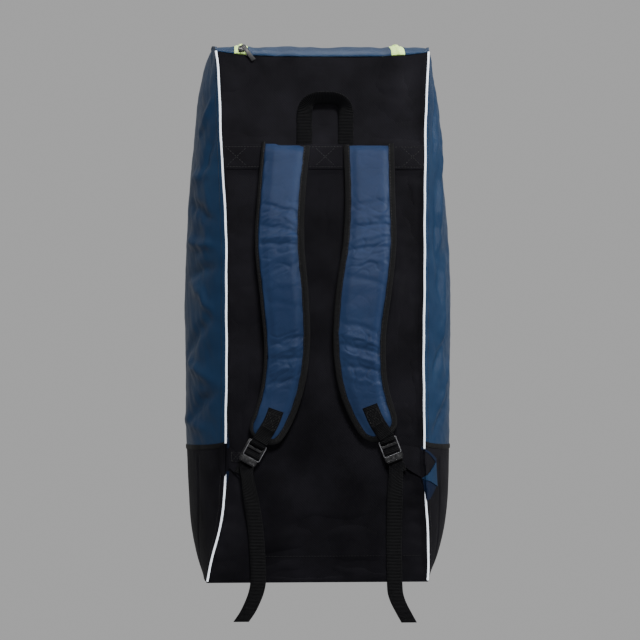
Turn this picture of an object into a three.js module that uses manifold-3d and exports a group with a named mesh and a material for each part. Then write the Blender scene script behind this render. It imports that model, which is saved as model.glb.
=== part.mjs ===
// A cricket kit bag: a tall stuffed duffle with a harness on its back panel, held up by its haul loop.
// Millimetres, +Z up. The harness side faces -Y and +X is on the right of someone who looks at it.
// Every panel is modelled from the base up and the whole bag is then hung from the loop's apex.

import * as THREE from 'three';
import Module from 'manifold-3d';
import { mergeVertices } from 'three/addons/utils/BufferGeometryUtils.js';

// Driving dimensions of the bag's body
const panelHeight = 790;
const panelWidth = 297;
const bagDepth = 300;
const cornerRise = 8;
const topDome = 26;
const sideDome = 16;
const sideSwell = 62;
const backSwell = 8;
const frontSwell = 22;
const clothWall = 2;
const seamGap = 0.3;
const pipingDiameter = 4;
const pipingStart = 2.4;

// Lower black panels and the tape over their upper edge
const lowerHeight = 190;
const lowerRise = 20;
const tapeWidth = 7;
const tapeThickness = 1;

// Zip that runs over the top and round the lid flap on the front
const zipWidth = 20;
const zipSpan = 236;
const zipShift = -3;
const zipCorner = 70;
const flapDrop = 480;
const sliderLength = 15;
const sliderWidth = 9;
const sliderThickness = 5;
const pullLength = 30;
const pullWidth = 6.5;
const pullThickness = 2.4;

// Reinforcement band and haul loop
const bandTop = 658;
const bandHeight = 37;
const bandThickness = 1.5;
const webbingWidth = 23.5;
const webbingThickness = 1.6;
const loopShift = 4.5;
const loopSpan = 62;
const loopRise = 79;
const loopStandoff = 20;

// Padded shoulder straps
const strapOffset = 62;
const strapWidth = 74;
const strapDrop = 441;
const strapLift = 22;
const strapThickness = 12;
const strapEdge = 4;
const strapEndRadius = 16;
const bindingWidth = 9;
const bindingWall = 1;
const bindingClearance = 0.4;

// Ladder-lock buckles, their webbing and the seam gussets that it is sewn to
const buckleLength = 34;
const buckleThickness = 3.6;
const buckleFrame = 2;
const buckleBar = 3.6;
const buckleLip = 7;
const buckleLipRise = 3;
const buckleGap = 5;
const leftBuckleTilt = 29;
const rightBuckleTilt = 21;
const slotClearance = 0.35;
const tabLength = 46;
const gussetHeight = 79;
const gussetReach = 16;
const gussetLevel = 163;
const gussetThickness = 1.6;
const gussetLift = 4;
const tailLength = 262;

// Sections of the body from base to top. Heights are shares of panelHeight, seams of half the
// panelWidth, swells of sideSwell and depths of bagDepth.
const sections = [
  { height: 0, leftSeam: 1.162, rightSeam: 1.076, leftSwell: 0.09, rightSwell: 0.12, depth: 0.93 },
  { height: 0.035, leftSeam: 1.126, rightSeam: 1.081, leftSwell: 0.35, rightSwell: 0.4, depth: 0.96 },
  { height: 0.092, leftSeam: 1.045, rightSeam: 1.076, leftSwell: 0.69, rightSwell: 0.62, depth: 0.985 },
  { height: 0.149, leftSeam: 0.995, rightSeam: 1.061, leftSwell: 0.86, rightSwell: 0.74, depth: 1 },
  { height: 0.263, leftSeam: 0.972, rightSeam: 1.04, leftSwell: 0.96, rightSwell: 0.83, depth: 1 },
  { height: 0.5, leftSeam: 0.965, rightSeam: 1.037, leftSwell: 1.01, rightSwell: 0.86, depth: 1 },
  { height: 0.633, leftSeam: 0.967, rightSeam: 1.045, leftSwell: 0.98, rightSwell: 0.78, depth: 1 },
  { height: 0.747, leftSeam: 0.99, rightSeam: 1.045, leftSwell: 0.84, rightSwell: 0.66, depth: 0.985 },
  { height: 0.861, leftSeam: 1.025, rightSeam: 1.051, leftSwell: 0.61, rightSwell: 0.53, depth: 0.955 },
  { height: 0.918, leftSeam: 1.035, rightSeam: 1.066, leftSwell: 0.53, rightSwell: 0.41, depth: 0.93 },
  { height: 0.975, leftSeam: 1.051, rightSeam: 1.076, leftSwell: 0.32, rightSwell: 0.26, depth: 0.9 },
  { height: 1, leftSeam: 1.067, rightSeam: 1.081, leftSwell: 0.13, rightSwell: 0.11, depth: 0.88 },
];

// Shoulder straps from the band down. Drops are shares of strapDrop, shifts of strapOffset, widths
// of strapWidth, lifts of strapLift, and rolls are in degrees about the strap's own line.
const leftStrap = [
  { drop: 0, shift: 0.91, width: 1, lift: 0, roll: 0 },
  { drop: 0.187, shift: 1.03, width: 0.99, lift: 0.5, roll: 6 },
  { drop: 0.34, shift: 1.07, width: 1.03, lift: 0.9, roll: 13 },
  { drop: 0.525, shift: 0.955, width: 1.02, lift: 1, roll: 15 },
  { drop: 0.69, shift: 0.895, width: 0.95, lift: 0.8, roll: 11 },
  { drop: 0.822, shift: 1, width: 0.88, lift: 0.5, roll: 5 },
  { drop: 0.93, shift: 1.24, width: 0.81, lift: 0.3, roll: 0 },
  { drop: 1, shift: 1.52, width: 0.72, lift: 0.25, roll: 0 },
];
const rightStrap = [
  { drop: 0, shift: 1.125, width: 1, lift: 0, roll: 0 },
  { drop: 0.187, shift: 1.149, width: 0.99, lift: 0.5, roll: 0 },
  { drop: 0.34, shift: 1.125, width: 1.05, lift: 0.9, roll: 0 },
  { drop: 0.48, shift: 1, width: 1.09, lift: 1, roll: 0 },
  { drop: 0.63, shift: 0.89, width: 1.05, lift: 0.85, roll: 0 },
  { drop: 0.73, shift: 0.9, width: 1.02, lift: 0.7, roll: 0 },
  { drop: 0.83, shift: 1.005, width: 0.96, lift: 0.5, roll: 0 },
  { drop: 0.93, shift: 1.27, width: 0.86, lift: 0.3, roll: 0 },
  { drop: 0.988, shift: 1.53, width: 0.72, lift: 0.25, roll: 0 },
];

// Free ends of the webbing below the buckles. Drops are shares of tailLength and sways of webbingWidth.
const leftTail = [
  { drop: 0.12, sway: -0.42 },
  { drop: 0.214, sway: -0.24 },
  { drop: 0.402, sway: 0.08 },
  { drop: 0.546, sway: 0.23 },
  { drop: 0.688, sway: 0.3 },
  { drop: 0.762, sway: 0.28 },
  { drop: 0.824, sway: 0.1 },
  { drop: 0.911, sway: -0.34 },
  { drop: 0.971, sway: -0.79 },
];
const rightTail = [
  { drop: 0.12, sway: 0.33 },
  { drop: 0.214, sway: 0.28 },
  { drop: 0.557, sway: 0.25 },
  { drop: 0.773, sway: 0.3 },
  { drop: 0.836, sway: 0.36 },
  { drop: 0.888, sway: 0.56 },
  { drop: 0.94, sway: 0.86 },
  { drop: 1, sway: 1.23 },
];

const bag = new THREE.Group();
const vec = (x, y, z) => new THREE.Vector3(x, y, z);
const lerp = THREE.MathUtils.lerp;

const finishes = {
  blueCloth: new THREE.MeshStandardMaterial({ color: 0x2a4263, roughness: 0.62, metalness: 0 }),
  blackCloth: new THREE.MeshStandardMaterial({ color: 0x17171b, roughness: 0.8, metalness: 0 }),
  webbing: new THREE.MeshStandardMaterial({ color: 0x131316, roughness: 0.75, metalness: 0 }),
  binding: new THREE.MeshStandardMaterial({ color: 0x26262a, roughness: 0.7, metalness: 0 }),
  piping: new THREE.MeshStandardMaterial({ color: 0xe6eaf0, roughness: 0.45, metalness: 0 }),
  zipTape: new THREE.MeshStandardMaterial({ color: 0xcdf07c, roughness: 0.6, metalness: 0 }),
  plastic: new THREE.MeshStandardMaterial({ color: 0x101012, roughness: 0.35, metalness: 0 }),
};

// Geometry helpers

function signedVolume(points, index) {
  let volume = 0;
  for (let i = 0; i < index.length; i += 3) {
    const [a, b, c] = [points[index[i]], points[index[i + 1]], points[index[i + 2]]];
    volume += a.dot(b.clone().cross(c)) / 6;
  }
  return volume;
}

function solid(points, index) {
  const faces = signedVolume(points, index) < 0 ? index.toReversed() : index;
  const geometry = new THREE.BufferGeometry();
  const flat = points.flatMap((point) => point.toArray());
  geometry.setAttribute('position', new THREE.Float32BufferAttribute(flat, 3));
  geometry.setIndex(faces);
  return geometry;
}

// A closed sheet between two grids of points that have the same rows and columns.
function slab(outer, inner) {
  const rows = outer.length;
  const columns = outer[0].length;
  const layer = rows * columns;
  const index = [];
  const quad = (a, b, c, d) => index.push(a, b, c, a, c, d);
  for (let r = 0; r < rows - 1; r += 1) {
    for (let c = 0; c < columns - 1; c += 1) {
      const a = r * columns + c;
      quad(a, a + 1, a + columns + 1, a + columns);
      quad(layer + a, layer + a + columns, layer + a + columns + 1, layer + a + 1);
    }
  }
  const rim = [];
  for (let c = 0; c < columns - 1; c += 1) rim.push(c);
  for (let r = 0; r < rows - 1; r += 1) rim.push(r * columns + columns - 1);
  for (let c = columns - 1; c > 0; c -= 1) rim.push((rows - 1) * columns + c);
  for (let r = rows - 1; r > 0; r -= 1) rim.push(r * columns);
  rim.forEach((a, i) => {
    const b = rim[(i + 1) % rim.length];
    quad(b, a, layer + a, layer + b);
  });
  return solid([...outer.flat(), ...inner.flat()], index);
}

// A closed loft through rings of points, with flat caps cut from the profile of each end.
function loft(rings, capProfile) {
  const sides = rings[0].length;
  const index = [];
  for (let r = 0; r < rings.length - 1; r += 1) {
    for (let s = 0; s < sides; s += 1) {
      const a = r * sides + s;
      const b = r * sides + ((s + 1) % sides);
      index.push(a, b, b + sides, a, b + sides, a + sides);
    }
  }
  const last = (rings.length - 1) * sides;
  const clockwise = THREE.ShapeUtils.isClockWise(capProfile);
  for (const [a, b, c] of THREE.ShapeUtils.triangulateShape(capProfile, [])) {
    const [first, third] = clockwise ? [c, a] : [a, c];
    index.push(third, b, first, last + first, last + b, last + third);
  }
  return solid(rings.flat(), index);
}

// Outward unit normals of a grid, by central differences, pointing away from the middle of the bag.
function gridNormals(grid) {
  const middle = vec(0, 0, panelHeight / 2);
  const last = (list) => list.length - 1;
  return grid.map((row, r) => row.map((point, c) => {
    const along = row[Math.min(c + 1, last(row))].clone().sub(row[Math.max(c - 1, 0)]);
    const up = grid[Math.min(r + 1, last(grid))][c].clone().sub(grid[Math.max(r - 1, 0)][c]);
    const normal = along.cross(up).normalize();
    return normal.dot(point.clone().sub(middle)) < 0 ? normal.negate() : normal;
  }));
}

// A sheet that follows a grid of points, from `high` above the surface to `low`, both along its normals.
function skin(grid, high, low) {
  const normals = gridNormals(grid);
  const raised = (point, normal, height) => point.clone().addScaledVector(normal, height);
  const layer = (height) => grid.map((row, r) => row.map((point, c) => raised(point, normals[r][c], height)));
  return slab(layer(high), layer(low));
}

const shares = (count) => Array.from({ length: count + 1 }, (_, i) => i / count);
const gridOf = (rows, columns, at) => shares(rows).map((v) => shares(columns).map((u) => at(u, v)));

function add(name, geometry, finish) {
  const mesh = new THREE.Mesh(geometry, finishes[finish].clone());
  mesh.name = name;
  bag.add(mesh);
  return mesh;
}

// Smooth reading of one column of a table at a place between its rows.
function read(table, key, column, at) {
  let row = 1;
  while (row < table.length - 1 && table[row][key] < at) row += 1;
  const slope = (i) => {
    const a = table[Math.max(i - 1, 0)];
    const b = table[Math.min(i + 1, table.length - 1)];
    return (b[column] - a[column]) / (b[key] - a[key]);
  };
  const low = table[row - 1];
  const high = table[row];
  const span = high[key] - low[key];
  const t = THREE.MathUtils.clamp((at - low[key]) / span, 0, 1);
  const rise = high[column] - low[column];
  const start = slope(row - 1) * span - rise;
  const end = rise - slope(row) * span;
  return low[column] + t * rise + t * (1 - t) * ((1 - t) * start + t * end);
}

// Surfaces of the body. `side` is -1 on the left and 1 on the right.

const sideName = (side) => (side < 0 ? 'left' : 'right');
const section = (column, height) => read(sections, 'height', column, height);
const seamX = (side, height) => side * panelWidth / 2 * section(`${sideName(side)}Seam`, height);
const swellAt = (side, height) => sideSwell * section(`${sideName(side)}Swell`, height);
const depthAt = (height) => bagDepth * section('depth', height);
const topEdge = (across) => panelHeight + cornerRise * across ** 4;

// The share of a face's swell at a height: none at the base and at the top.
const arch = (height) => Math.sqrt(Math.sin(Math.PI * THREE.MathUtils.clamp(height, 0, 1)));

// Where x lies between the seams: -1 at the left one and 1 at the right one.
const acrossAt = (x, height) => {
  const left = seamX(-1, height);
  return 2 * (x - left) / (seamX(1, height) - left) - 1;
};

// A point of the back panel at a real x and height, `proud` millimetres in front of its face.
function onBack(x, z, proud = 0) {
  const height = z / panelHeight;
  const across = THREE.MathUtils.clamp(acrossAt(x, height), -1, 1);
  return vec(x, -bagDepth / 2 - backSwell * (1 - across ** 2) * arch(height) - proud, z);
}

function backPoint(across, height) {
  const x = lerp(seamX(-1, height), seamX(1, height), (across + 1) / 2);
  const swell = backSwell * (1 - across ** 2) * arch(height);
  return vec(x, -bagDepth / 2 - swell, height * topEdge(across));
}

// A side panel bows out between its seams. `turn` runs from 0 at the back seam to 1 at the front seam,
// and a bowPower under 1 keeps the bow full near them.
const bowPower = 0.75;
const sweep = (turn) => (1 - Math.cos(Math.PI * turn)) / 2;
const sideTop = (turn) => panelHeight + cornerRise + sideDome * Math.sin(Math.PI * turn);

function sidePoint(side, height, turn) {
  const share = sweep(turn);
  const swell = swellAt(side, height) * Math.sin(Math.PI * share) ** bowPower;
  const y = -bagDepth / 2 + depthAt(height) * share;
  return vec(seamX(side, height) + side * swell, y, height * sideTop(turn));
}

// The turn at which the side panel has left its back seam by a given distance.
function turnFromSeam(side, height, distance) {
  const seam = sidePoint(side, height, 0);
  const halvings = 24;
  let [low, high] = [0, 0.5];
  for (let i = 0; i < halvings; i += 1) {
    const middle = (low + high) / 2;
    const place = sidePoint(side, height, middle);
    if (Math.hypot(place.x - seam.x, place.y - seam.y) < distance) low = middle;
    else high = middle;
  }
  return high;
}

// The top and the front are one surface that starts at the back panel's upper edge. `run` is the
// distance along it: over the top as far as topRun, then down the front.
const topRun = depthAt(1);

function wrapEdge(side, run) {
  if (run >= topRun) return seamX(side, 1 - (run - topRun) / panelHeight);
  return sidePoint(side, 1, run / topRun).x;
}

function wrapPoint(x, run) {
  const left = wrapEdge(-1, run);
  const across = 2 * (x - left) / (wrapEdge(1, run) - left) - 1;
  if (run < topRun) {
    const turn = run / topRun;
    const rise = lerp(topDome, sideDome, across ** 4) * Math.sin(Math.PI * turn);
    return vec(x, -bagDepth / 2 + topRun * sweep(turn), topEdge(across) + rise);
  }
  const height = 1 - (run - topRun) / panelHeight;
  const swell = frontSwell * (1 - across ** 2) * arch(height);
  return vec(x, -bagDepth / 2 + depthAt(height) + swell, height * topEdge(across));
}

// Runs at which a sheet over the top is sampled: close together where it leaves the back panel.
const wrapStart = seamGap * 8;
function wrapRuns(end) {
  const turns = [0.02, 0.06, 0.12, 0.22, 0.35, 0.5, 0.65, 0.78, 0.88, 0.94, 0.98, 1];
  const overTop = turns.map((turn) => turn * topRun);
  const down = shares(8).slice(1).map((share) => lerp(topRun, end, share));
  return [wrapStart, ...overTop, ...down];
}

// Body panels

// How far a panel's edge is held back from a piped seam, and from a neighbour that it butts against.
const pipeInset = pipingDiameter / 2 + 2.5 * seamGap;
const buttInset = clothWall * 1.25 + seamGap;

function addBackPanel() {
  const grid = gridOf(18, 10, (u, v) => {
    const height = lerp(0, 1 - seamGap / panelHeight, v);
    const reach = 1 - 2 * pipeInset / (seamX(1, height) - seamX(-1, height));
    return backPoint(reach * Math.sin(Math.PI * (u - 0.5)), height);
  });
  add('back_panel', skin(grid, 0, -clothWall), 'blackCloth');
}

// The height, as a share, of the line between a side's blue and black panels.
const lowerEdge = (turn) => (lowerHeight + lowerRise * (1 - turn) ** 2) / sideTop(turn);

function sideGrid(side, rows, columns, low, high, startInset) {
  return gridOf(rows, columns, (u, v) => {
    const guess = lerp(low(0), high(0), v);
    const start = turnFromSeam(side, guess, startInset);
    const turn = lerp(start, 1, u);
    return sidePoint(side, lerp(low(turn), high(turn), v), turn);
  });
}

function addSidePanels(side) {
  const name = sideName(side);
  const margin = seamGap / 2 / panelHeight;
  const tapeHalf = tapeWidth / 2 / panelHeight;
  const upper = sideGrid(side, 14, 8, (t) => lowerEdge(t) + margin, () => 1, pipeInset);
  const lower = sideGrid(side, 6, 8, () => 0, (t) => lowerEdge(t) - margin, pipeInset);
  const tapeEdge = (sign) => (t) => lowerEdge(t) + sign * tapeHalf;
  const tape = sideGrid(side, 1, 8, tapeEdge(-1), tapeEdge(1), pipeInset);
  add(`side_panel_${name}`, skin(upper, 0, -clothWall), 'blueCloth');
  add(`side_lower_${name}`, skin(lower, 0, -clothWall), 'blackCloth');
  add(`side_tape_${name}`, skin(tape, seamGap + tapeThickness, seamGap), 'binding');
}

const insideEdge = (side, run) => wrapEdge(side, run) - side * buttInset;
const lowerRun = topRun + panelHeight - lowerHeight;

function addFrontLower() {
  const between = (u, run) => wrapPoint(lerp(insideEdge(-1, run), insideEdge(1, run), u), run);
  const lower = gridOf(7, 10, (u, v) => between(u, lerp(topRun + panelHeight, lowerRun + seamGap / 2, v)));
  const tape = gridOf(2, 10, (u, v) => between(u, lowerRun + tapeWidth * (0.5 - v)));
  add('front_lower', skin(lower, 0, -clothWall), 'blackCloth');
  add('front_tape', skin(tape, seamGap + tapeThickness, seamGap), 'binding');
}

// Zip line in the wrap's own coordinates: down the left leg, round two corners and up the right leg.
// `offset` moves it outwards. Each station also gives the matching place on the front panel's outer
// edge: its run, and a slide of 0 on the side seam, up to 1 at the zip's corner and 2 at the middle.
function zipLine(offset) {
  const cornerSteps = 6;
  const leg = zipSpan / 2 + offset;
  const radius = zipCorner + offset;
  const bottom = topRun + flapDrop + offset;
  const turnRun = bottom - radius;
  const outerBottom = lowerRun - seamGap / 2;
  const half = wrapRuns(turnRun).map((run) => ({ out: leg, run, edgeRun: run, slide: 0 }));
  for (let i = 1; i <= cornerSteps; i += 1) {
    const angle = Math.PI / 2 * i / cornerSteps;
    const share = i / cornerSteps;
    const out = leg - radius + radius * Math.cos(angle);
    const run = turnRun + radius * Math.sin(angle);
    const onSide = share <= 0.5;
    const edgeRun = onSide ? lerp(turnRun, outerBottom, share * 2) : outerBottom;
    half.push({ out, run, edgeRun, slide: onSide ? 0 : share * 2 - 1 });
  }
  half.push({ out: 0, run: bottom, edgeRun: outerBottom, slide: 2 });
  const mirror = half.slice(0, -1).reverse().map((p) => ({ ...p, side: 1 }));
  return [...half.map((p) => ({ ...p, side: -1 })), ...mirror];
}

function addZipAndFront() {
  const halfWidth = zipWidth / 2;
  const inner = zipLine(-halfWidth);
  const outer = zipLine(halfWidth);
  const place = (p) => wrapPoint(zipShift + p.side * p.out, p.run);
  const tape = [inner, zipLine(0), outer].map((line) => line.map(place));
  add('zip_tape', skin(tape, 0, -clothWall), 'zipTape');

  const frameLine = zipLine(halfWidth + seamGap);
  const cornerX = (p) => zipShift + p.side * (zipSpan / 2 - zipCorner);
  const edgeX = (p) => (p.slide > 1 ? zipShift : lerp(insideEdge(p.side, p.edgeRun), cornerX(p), p.slide));
  const frame = shares(4).map((t) => frameLine.map((p) => {
    const x = lerp(zipShift + p.side * p.out, edgeX(p), t);
    return wrapPoint(x, lerp(p.run, p.edgeRun, t));
  }));
  add('front_panel', skin(frame, 0, -clothWall), 'blueCloth');

  const flapInset = halfWidth + 1.5 * seamGap;
  const flapHalf = zipSpan / 2 - flapInset;
  const radius = zipCorner - flapInset;
  const bottom = topRun + flapDrop - flapInset;
  const fall = (share) => bottom - radius + radius * Math.sin(share * Math.PI / 2);
  const rounding = shares(6).slice(1).map(fall);
  const flap = [...wrapRuns(bottom - radius), ...rounding].map((run) => {
    const past = Math.max(run - (bottom - radius), 0);
    const reach = flapHalf - radius + Math.sqrt(Math.max(radius ** 2 - past ** 2, 0));
    return shares(8).map((u) => wrapPoint(zipShift + lerp(-reach, reach, u), run));
  });
  add('lid_flap', skin(flap, 0, -clothWall), 'blueCloth');
}

function addBasePanel() {
  const outline = [];
  for (const side of [-1, 1]) {
    const turns = shares(10).map((t) => (side < 0 ? t : 1 - t));
    turns.forEach((t) => outline.push(sidePoint(side, 0, t)));
  }
  const inset = buttInset + 1.5 * seamGap;
  const [back, front] = [-bagDepth / 2 + inset, -bagDepth / 2 + depthAt(0) - inset];
  const shape = outline.map((p) => {
    const x = p.x - Math.sign(p.x) * inset;
    return new THREE.Vector2(x, THREE.MathUtils.clamp(p.y, back, front));
  });
  const options = { depth: clothWall, bevelEnabled: false };
  add('base_panel', new THREE.ExtrudeGeometry(new THREE.Shape(shape), options), 'blackCloth');
}

function addPiping(side) {
  const points = shares(24).map((v) => {
    const height = lerp(pipingStart / panelHeight, 1, v);
    const seam = sidePoint(side, height, 0);
    return vec(seam.x, seam.y, height * topEdge(1));
  });
  const profile = new THREE.Shape();
  profile.absarc(0, 0, pipingDiameter / 2, 0, Math.PI * 2, false);
  const path = new THREE.CatmullRomCurve3(points);
  const geometry = new THREE.ExtrudeGeometry(profile, { steps: 40, extrudePath: path, curveSegments: 4 });
  add(`piping_${sideName(side)}`, geometry, 'piping');
}

function addBand() {
  const grid = gridOf(3, 10, (u, v) => {
    const z = lerp(bandTop - bandHeight, bandTop, v);
    const reach = (side) => seamX(side, z / panelHeight) - side * pipeInset;
    return onBack(lerp(reach(-1), reach(1), u), z);
  });
  add('reinforcement_band', skin(grid, seamGap + bandThickness, seamGap), 'webbing');
}

// Flat webbing along stations, each with a place and a vector across half of its width.
function ribbon(stations, thickness) {
  const last = stations.length - 1;
  const rings = stations.map(({ at, across }, i) => {
    const tangent = stations[Math.min(i + 1, last)].at.clone().sub(stations[Math.max(i - 1, 0)].at);
    const through = tangent.cross(across).normalize().multiplyScalar(thickness / 2);
    const corner = (a, b) => at.clone().addScaledVector(across, a).addScaledVector(through, b);
    return [corner(-1, -1), corner(1, -1), corner(1, 1), corner(-1, 1)];
  });
  const square = [[-1, -1], [1, -1], [1, 1], [-1, 1]].map(([a, b]) => new THREE.Vector2(a, b));
  return loft(rings, square);
}

// Haul loop: two flat legs that rise from the band's upper edge and an arch between them. legShare is
// how much of the loop's line one leg takes, legHeight how much of its rise and legLean how much of its
// stand-off. A cornerPower or archPower under 1 makes the arch squarer, a leanPower over 1 keeps the
// legs near the panel, and grip is the webbing's width at the apex as a share of its full width.
const webbingProud = seamGap + webbingThickness / 2;
const legShare = 0.24;
const legHeight = 0.6;
const legLean = 0.4;
const cornerPower = 0.68;
const archPower = 0.72;
const leanPower = 1.5;
const grip = 0.85;
const loopPeak = bandTop + loopRise - grip * webbingWidth / 2;
const gripUnderside = bandTop + loopRise - grip * webbingWidth;
const signedPower = (value, power) => Math.sign(value) * Math.abs(value) ** power;

function loopCentre(share) {
  const legTop = lerp(bandTop, loopPeak, legHeight);
  const side = share < 0.5 ? -1 : 1;
  const climb = Math.min(share, 1 - share);
  if (climb < legShare) {
    const z = lerp(bandTop + seamGap, legTop, climb / legShare);
    return { x: loopShift + side * loopSpan / 2, z, rise: climb / legShare * legLean };
  }
  const angle = Math.PI * (share - legShare) / (1 - 2 * legShare);
  const x = loopShift - loopSpan / 2 * signedPower(Math.cos(angle), cornerPower);
  const arc = Math.sin(angle) ** archPower;
  return { x, z: lerp(legTop, loopPeak, arc), rise: lerp(legLean, 1, arc) };
}

function addHaulLoop() {
  const centres = shares(24).map(loopCentre);
  const proud = (rise) => webbingProud + loopStandoff * rise ** leanPower;
  const places = centres.map(({ x, z, rise }) => onBack(x, z, proud(rise)));
  const stations = places.map((at, i) => {
    const tangent = places[Math.min(i + 1, places.length - 1)].clone().sub(places[Math.max(i - 1, 0)]);
    const across = vec(0, 1, 0).cross(tangent);
    across.y = 0;
    return { at, across: across.setLength(webbingWidth / 2 * lerp(1, grip, centres[i].rise)) };
  });
  add('haul_loop', ribbon(stations, webbingThickness), 'webbing');
}

// Shoulder straps

const strapTables = { left: leftStrap, right: rightStrap };
const strapClear = seamGap + bandThickness + seamGap;
const rimHalf = strapEdge / 2 + bindingClearance + bindingWall;
const ramp = (value) => THREE.MathUtils.smoothstep(value, 0, 1);

// Half of the pad's thickness at a distance from its upper and from its lower end.
function padHalf(fromTop, fromEnd) {
  const filled = Math.min(ramp(fromTop / strapThickness), ramp((fromEnd - bindingWidth) / strapThickness));
  return lerp(strapEdge, strapThickness, filled) / 2;
}

function strapPlace(side, drop) {
  const table = strapTables[sideName(side)];
  const x = side * strapOffset * read(table, 'drop', 'shift', drop);
  const z = bandTop - strapDrop * drop;
  const seat = lerp(rimHalf, Math.max(rimHalf, strapThickness / 2), ramp(drop * strapDrop / strapThickness));
  const proud = strapClear + seat + strapLift * read(table, 'drop', 'lift', drop);
  // The bulging panel is nearest to the strap at the strap's inner edge.
  const innerX = x - side * strapWidth / 2 * read(table, 'drop', 'width', drop);
  return vec(x, onBack(innerX, z, proud).y, z);
}

// A frame on the strap's middle line: where it is, the way down it, across it and out of its face,
// with half of the strap's width and thickness there.
function strapFrame(side, drop) {
  const table = strapTables[sideName(side)];
  const endDrop = table.at(-1).drop;
  const step = 0.01;
  const at = strapPlace(side, drop);
  const before = strapPlace(side, Math.max(drop - step, 0));
  const down = strapPlace(side, Math.min(drop + step, endDrop)).sub(before).normalize();
  const flat = vec(0, -1, 0);
  const across = flat.clone().cross(down).normalize();
  const out = down.clone().cross(across).normalize();
  const roll = THREE.MathUtils.degToRad(read(table, 'drop', 'roll', drop));
  across.applyAxisAngle(down, -side * roll);
  out.applyAxisAngle(down, -side * roll);
  const fromTop = strapDrop * drop;
  const fromEnd = strapDrop * (endDrop - drop);
  const full = strapWidth / 2 * read(table, 'drop', 'width', drop);
  const corner = Math.max(strapEndRadius - fromEnd, 0);
  const half = full - strapEndRadius + Math.sqrt(Math.max(strapEndRadius ** 2 - corner ** 2, 0));
  return { at, down, across, out, half, thick: padHalf(fromTop, fromEnd) };
}

function strapFrames(side) {
  const endDrop = strapTables[sideName(side)].at(-1).drop;
  const arcStart = endDrop - strapEndRadius / strapDrop;
  const straight = shares(17).map((share) => share * arcStart);
  const rounded = [0.3, 0.55, 0.75, 0.9, 1].map((share) => lerp(arcStart, endDrop, share));
  return [...straight, ...rounded].map((drop) => strapFrame(side, drop));
}

const onFrame = (frame, across, out) => frame.at.clone()
  .addScaledVector(frame.across, across)
  .addScaledVector(frame.out, out);

// The pad is thin under its binding, rises over a slope to its shoulders and is thickest in the middle.
const shoulderFill = 0.85;

function addStrapPad(side) {
  const slope = strapThickness / 2;
  const outline = ({ half, thick }) => {
    const flange = Math.max(half - bindingWidth, half * 0.45);
    const shoulder = Math.max(half - bindingWidth - slope, half * 0.25);
    const edge = strapEdge / 2;
    const face = [[half, edge], [flange, edge], [shoulder, lerp(edge, thick, shoulderFill)], [0, thick]];
    const front = [...face, ...face.slice(0, -1).reverse().map(([a, n]) => [-a, n])];
    return [...front, ...front.toReversed().map(([a, n]) => [a, -n])];
  };
  const frames = strapFrames(side);
  const rings = frames.map((frame) => outline(frame).map(([a, n]) => onFrame(frame, a, n)));
  const cap = outline(frames.at(-1)).map(([a, n]) => new THREE.Vector2(a, n));
  add(`strap_pad_${sideName(side)}`, loft(rings, cap), 'blueCloth');
}

// Binding that wraps the pad's rim: down one edge, round the lower end and up the other edge.
function addStrapBinding(side) {
  const frames = strapFrames(side);
  const edge = (sign) => frames.map((frame) => ({ at: onFrame(frame, sign * frame.half, 0), frame }));
  const end = frames.at(-1);
  const across = [-0.5, 0, 0.5].map((share) => ({ at: onFrame(end, share * end.half, 0), frame: end }));
  const rim = [...edge(-1), ...across, ...edge(1).reverse()];
  const inside = strapEdge / 2 + bindingClearance;
  const outside = inside + bindingWall;
  const lip = bindingWidth - bindingClearance;
  const fold = -bindingClearance - bindingWall;
  const profile = [
    [fold, -outside], [lip, -outside], [lip, -inside], [-bindingClearance, -inside],
    [-bindingClearance, inside], [lip, inside], [lip, outside], [fold, outside],
  ];
  const rings = rim.map(({ at, frame }, i) => {
    const tangent = rim[Math.min(i + 1, rim.length - 1)].at.clone().sub(rim[Math.max(i - 1, 0)].at);
    const inward = frame.out.clone().cross(tangent).normalize();
    const middle = onFrame(frame, 0, 0).addScaledVector(frame.down, -strapEndRadius);
    if (inward.dot(middle.sub(at)) < 0) inward.negate();
    return profile.map(([a, n]) => at.clone().addScaledVector(inward, a).addScaledVector(frame.out, n));
  });
  const cap = profile.map(([a, n]) => new THREE.Vector2(a, n));
  add(`strap_binding_${sideName(side)}`, loft(rings, cap), 'binding');
}

// Ladder-lock buckles. `along` runs down the buckle, `out` out of its face.
const buckleTilt = { left: leftBuckleTilt, right: rightBuckleTilt };
const slotCount = 3;
const slotLength = (buckleLength - slotCount * buckleBar - buckleLip) / slotCount;
const buckleWidth = webbingWidth + 2 * (slotClearance + buckleFrame);

function buckleFrameAt(side) {
  const end = strapFrame(side, strapTables[sideName(side)].at(-1).drop);
  const tilt = THREE.MathUtils.degToRad(buckleTilt[sideName(side)]);
  const down = vec(side * Math.sin(tilt), 0, -Math.cos(tilt));
  const out = vec(0, -1, 0);
  const across = out.clone().cross(down);
  const at = end.at.clone().addScaledVector(down, buckleGap + buckleLength / 2);
  return { at, down, across, out, end };
}

const onBuckle = (frame, along, out) => frame.at.clone()
  .addScaledVector(frame.down, along)
  .addScaledVector(frame.out, out);

function roundedRectangle(path, width, low, high, radius) {
  const [x, r] = [width / 2, radius];
  path.moveTo(-x + r, low);
  path.lineTo(x - r, low);
  path.absarc(x - r, low + r, r, -Math.PI / 2, 0);
  path.absarc(x - r, high - r, r, 0, Math.PI / 2);
  path.absarc(-x + r, high - r, r, Math.PI / 2, Math.PI);
  path.absarc(-x + r, low + r, r, Math.PI, Math.PI * 1.5);
  return path;
}

function toManifold(geometry) {
  const plain = geometry.clone();
  plain.deleteAttribute('normal');
  plain.deleteAttribute('uv');
  const merged = mergeVertices(plain, 1e-4);
  return new wasm.Manifold(new wasm.Mesh({
    numProp: 3,
    vertProperties: new Float32Array(merged.attributes.position.array),
    triVerts: new Uint32Array(merged.index.array),
  }));
}

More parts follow.
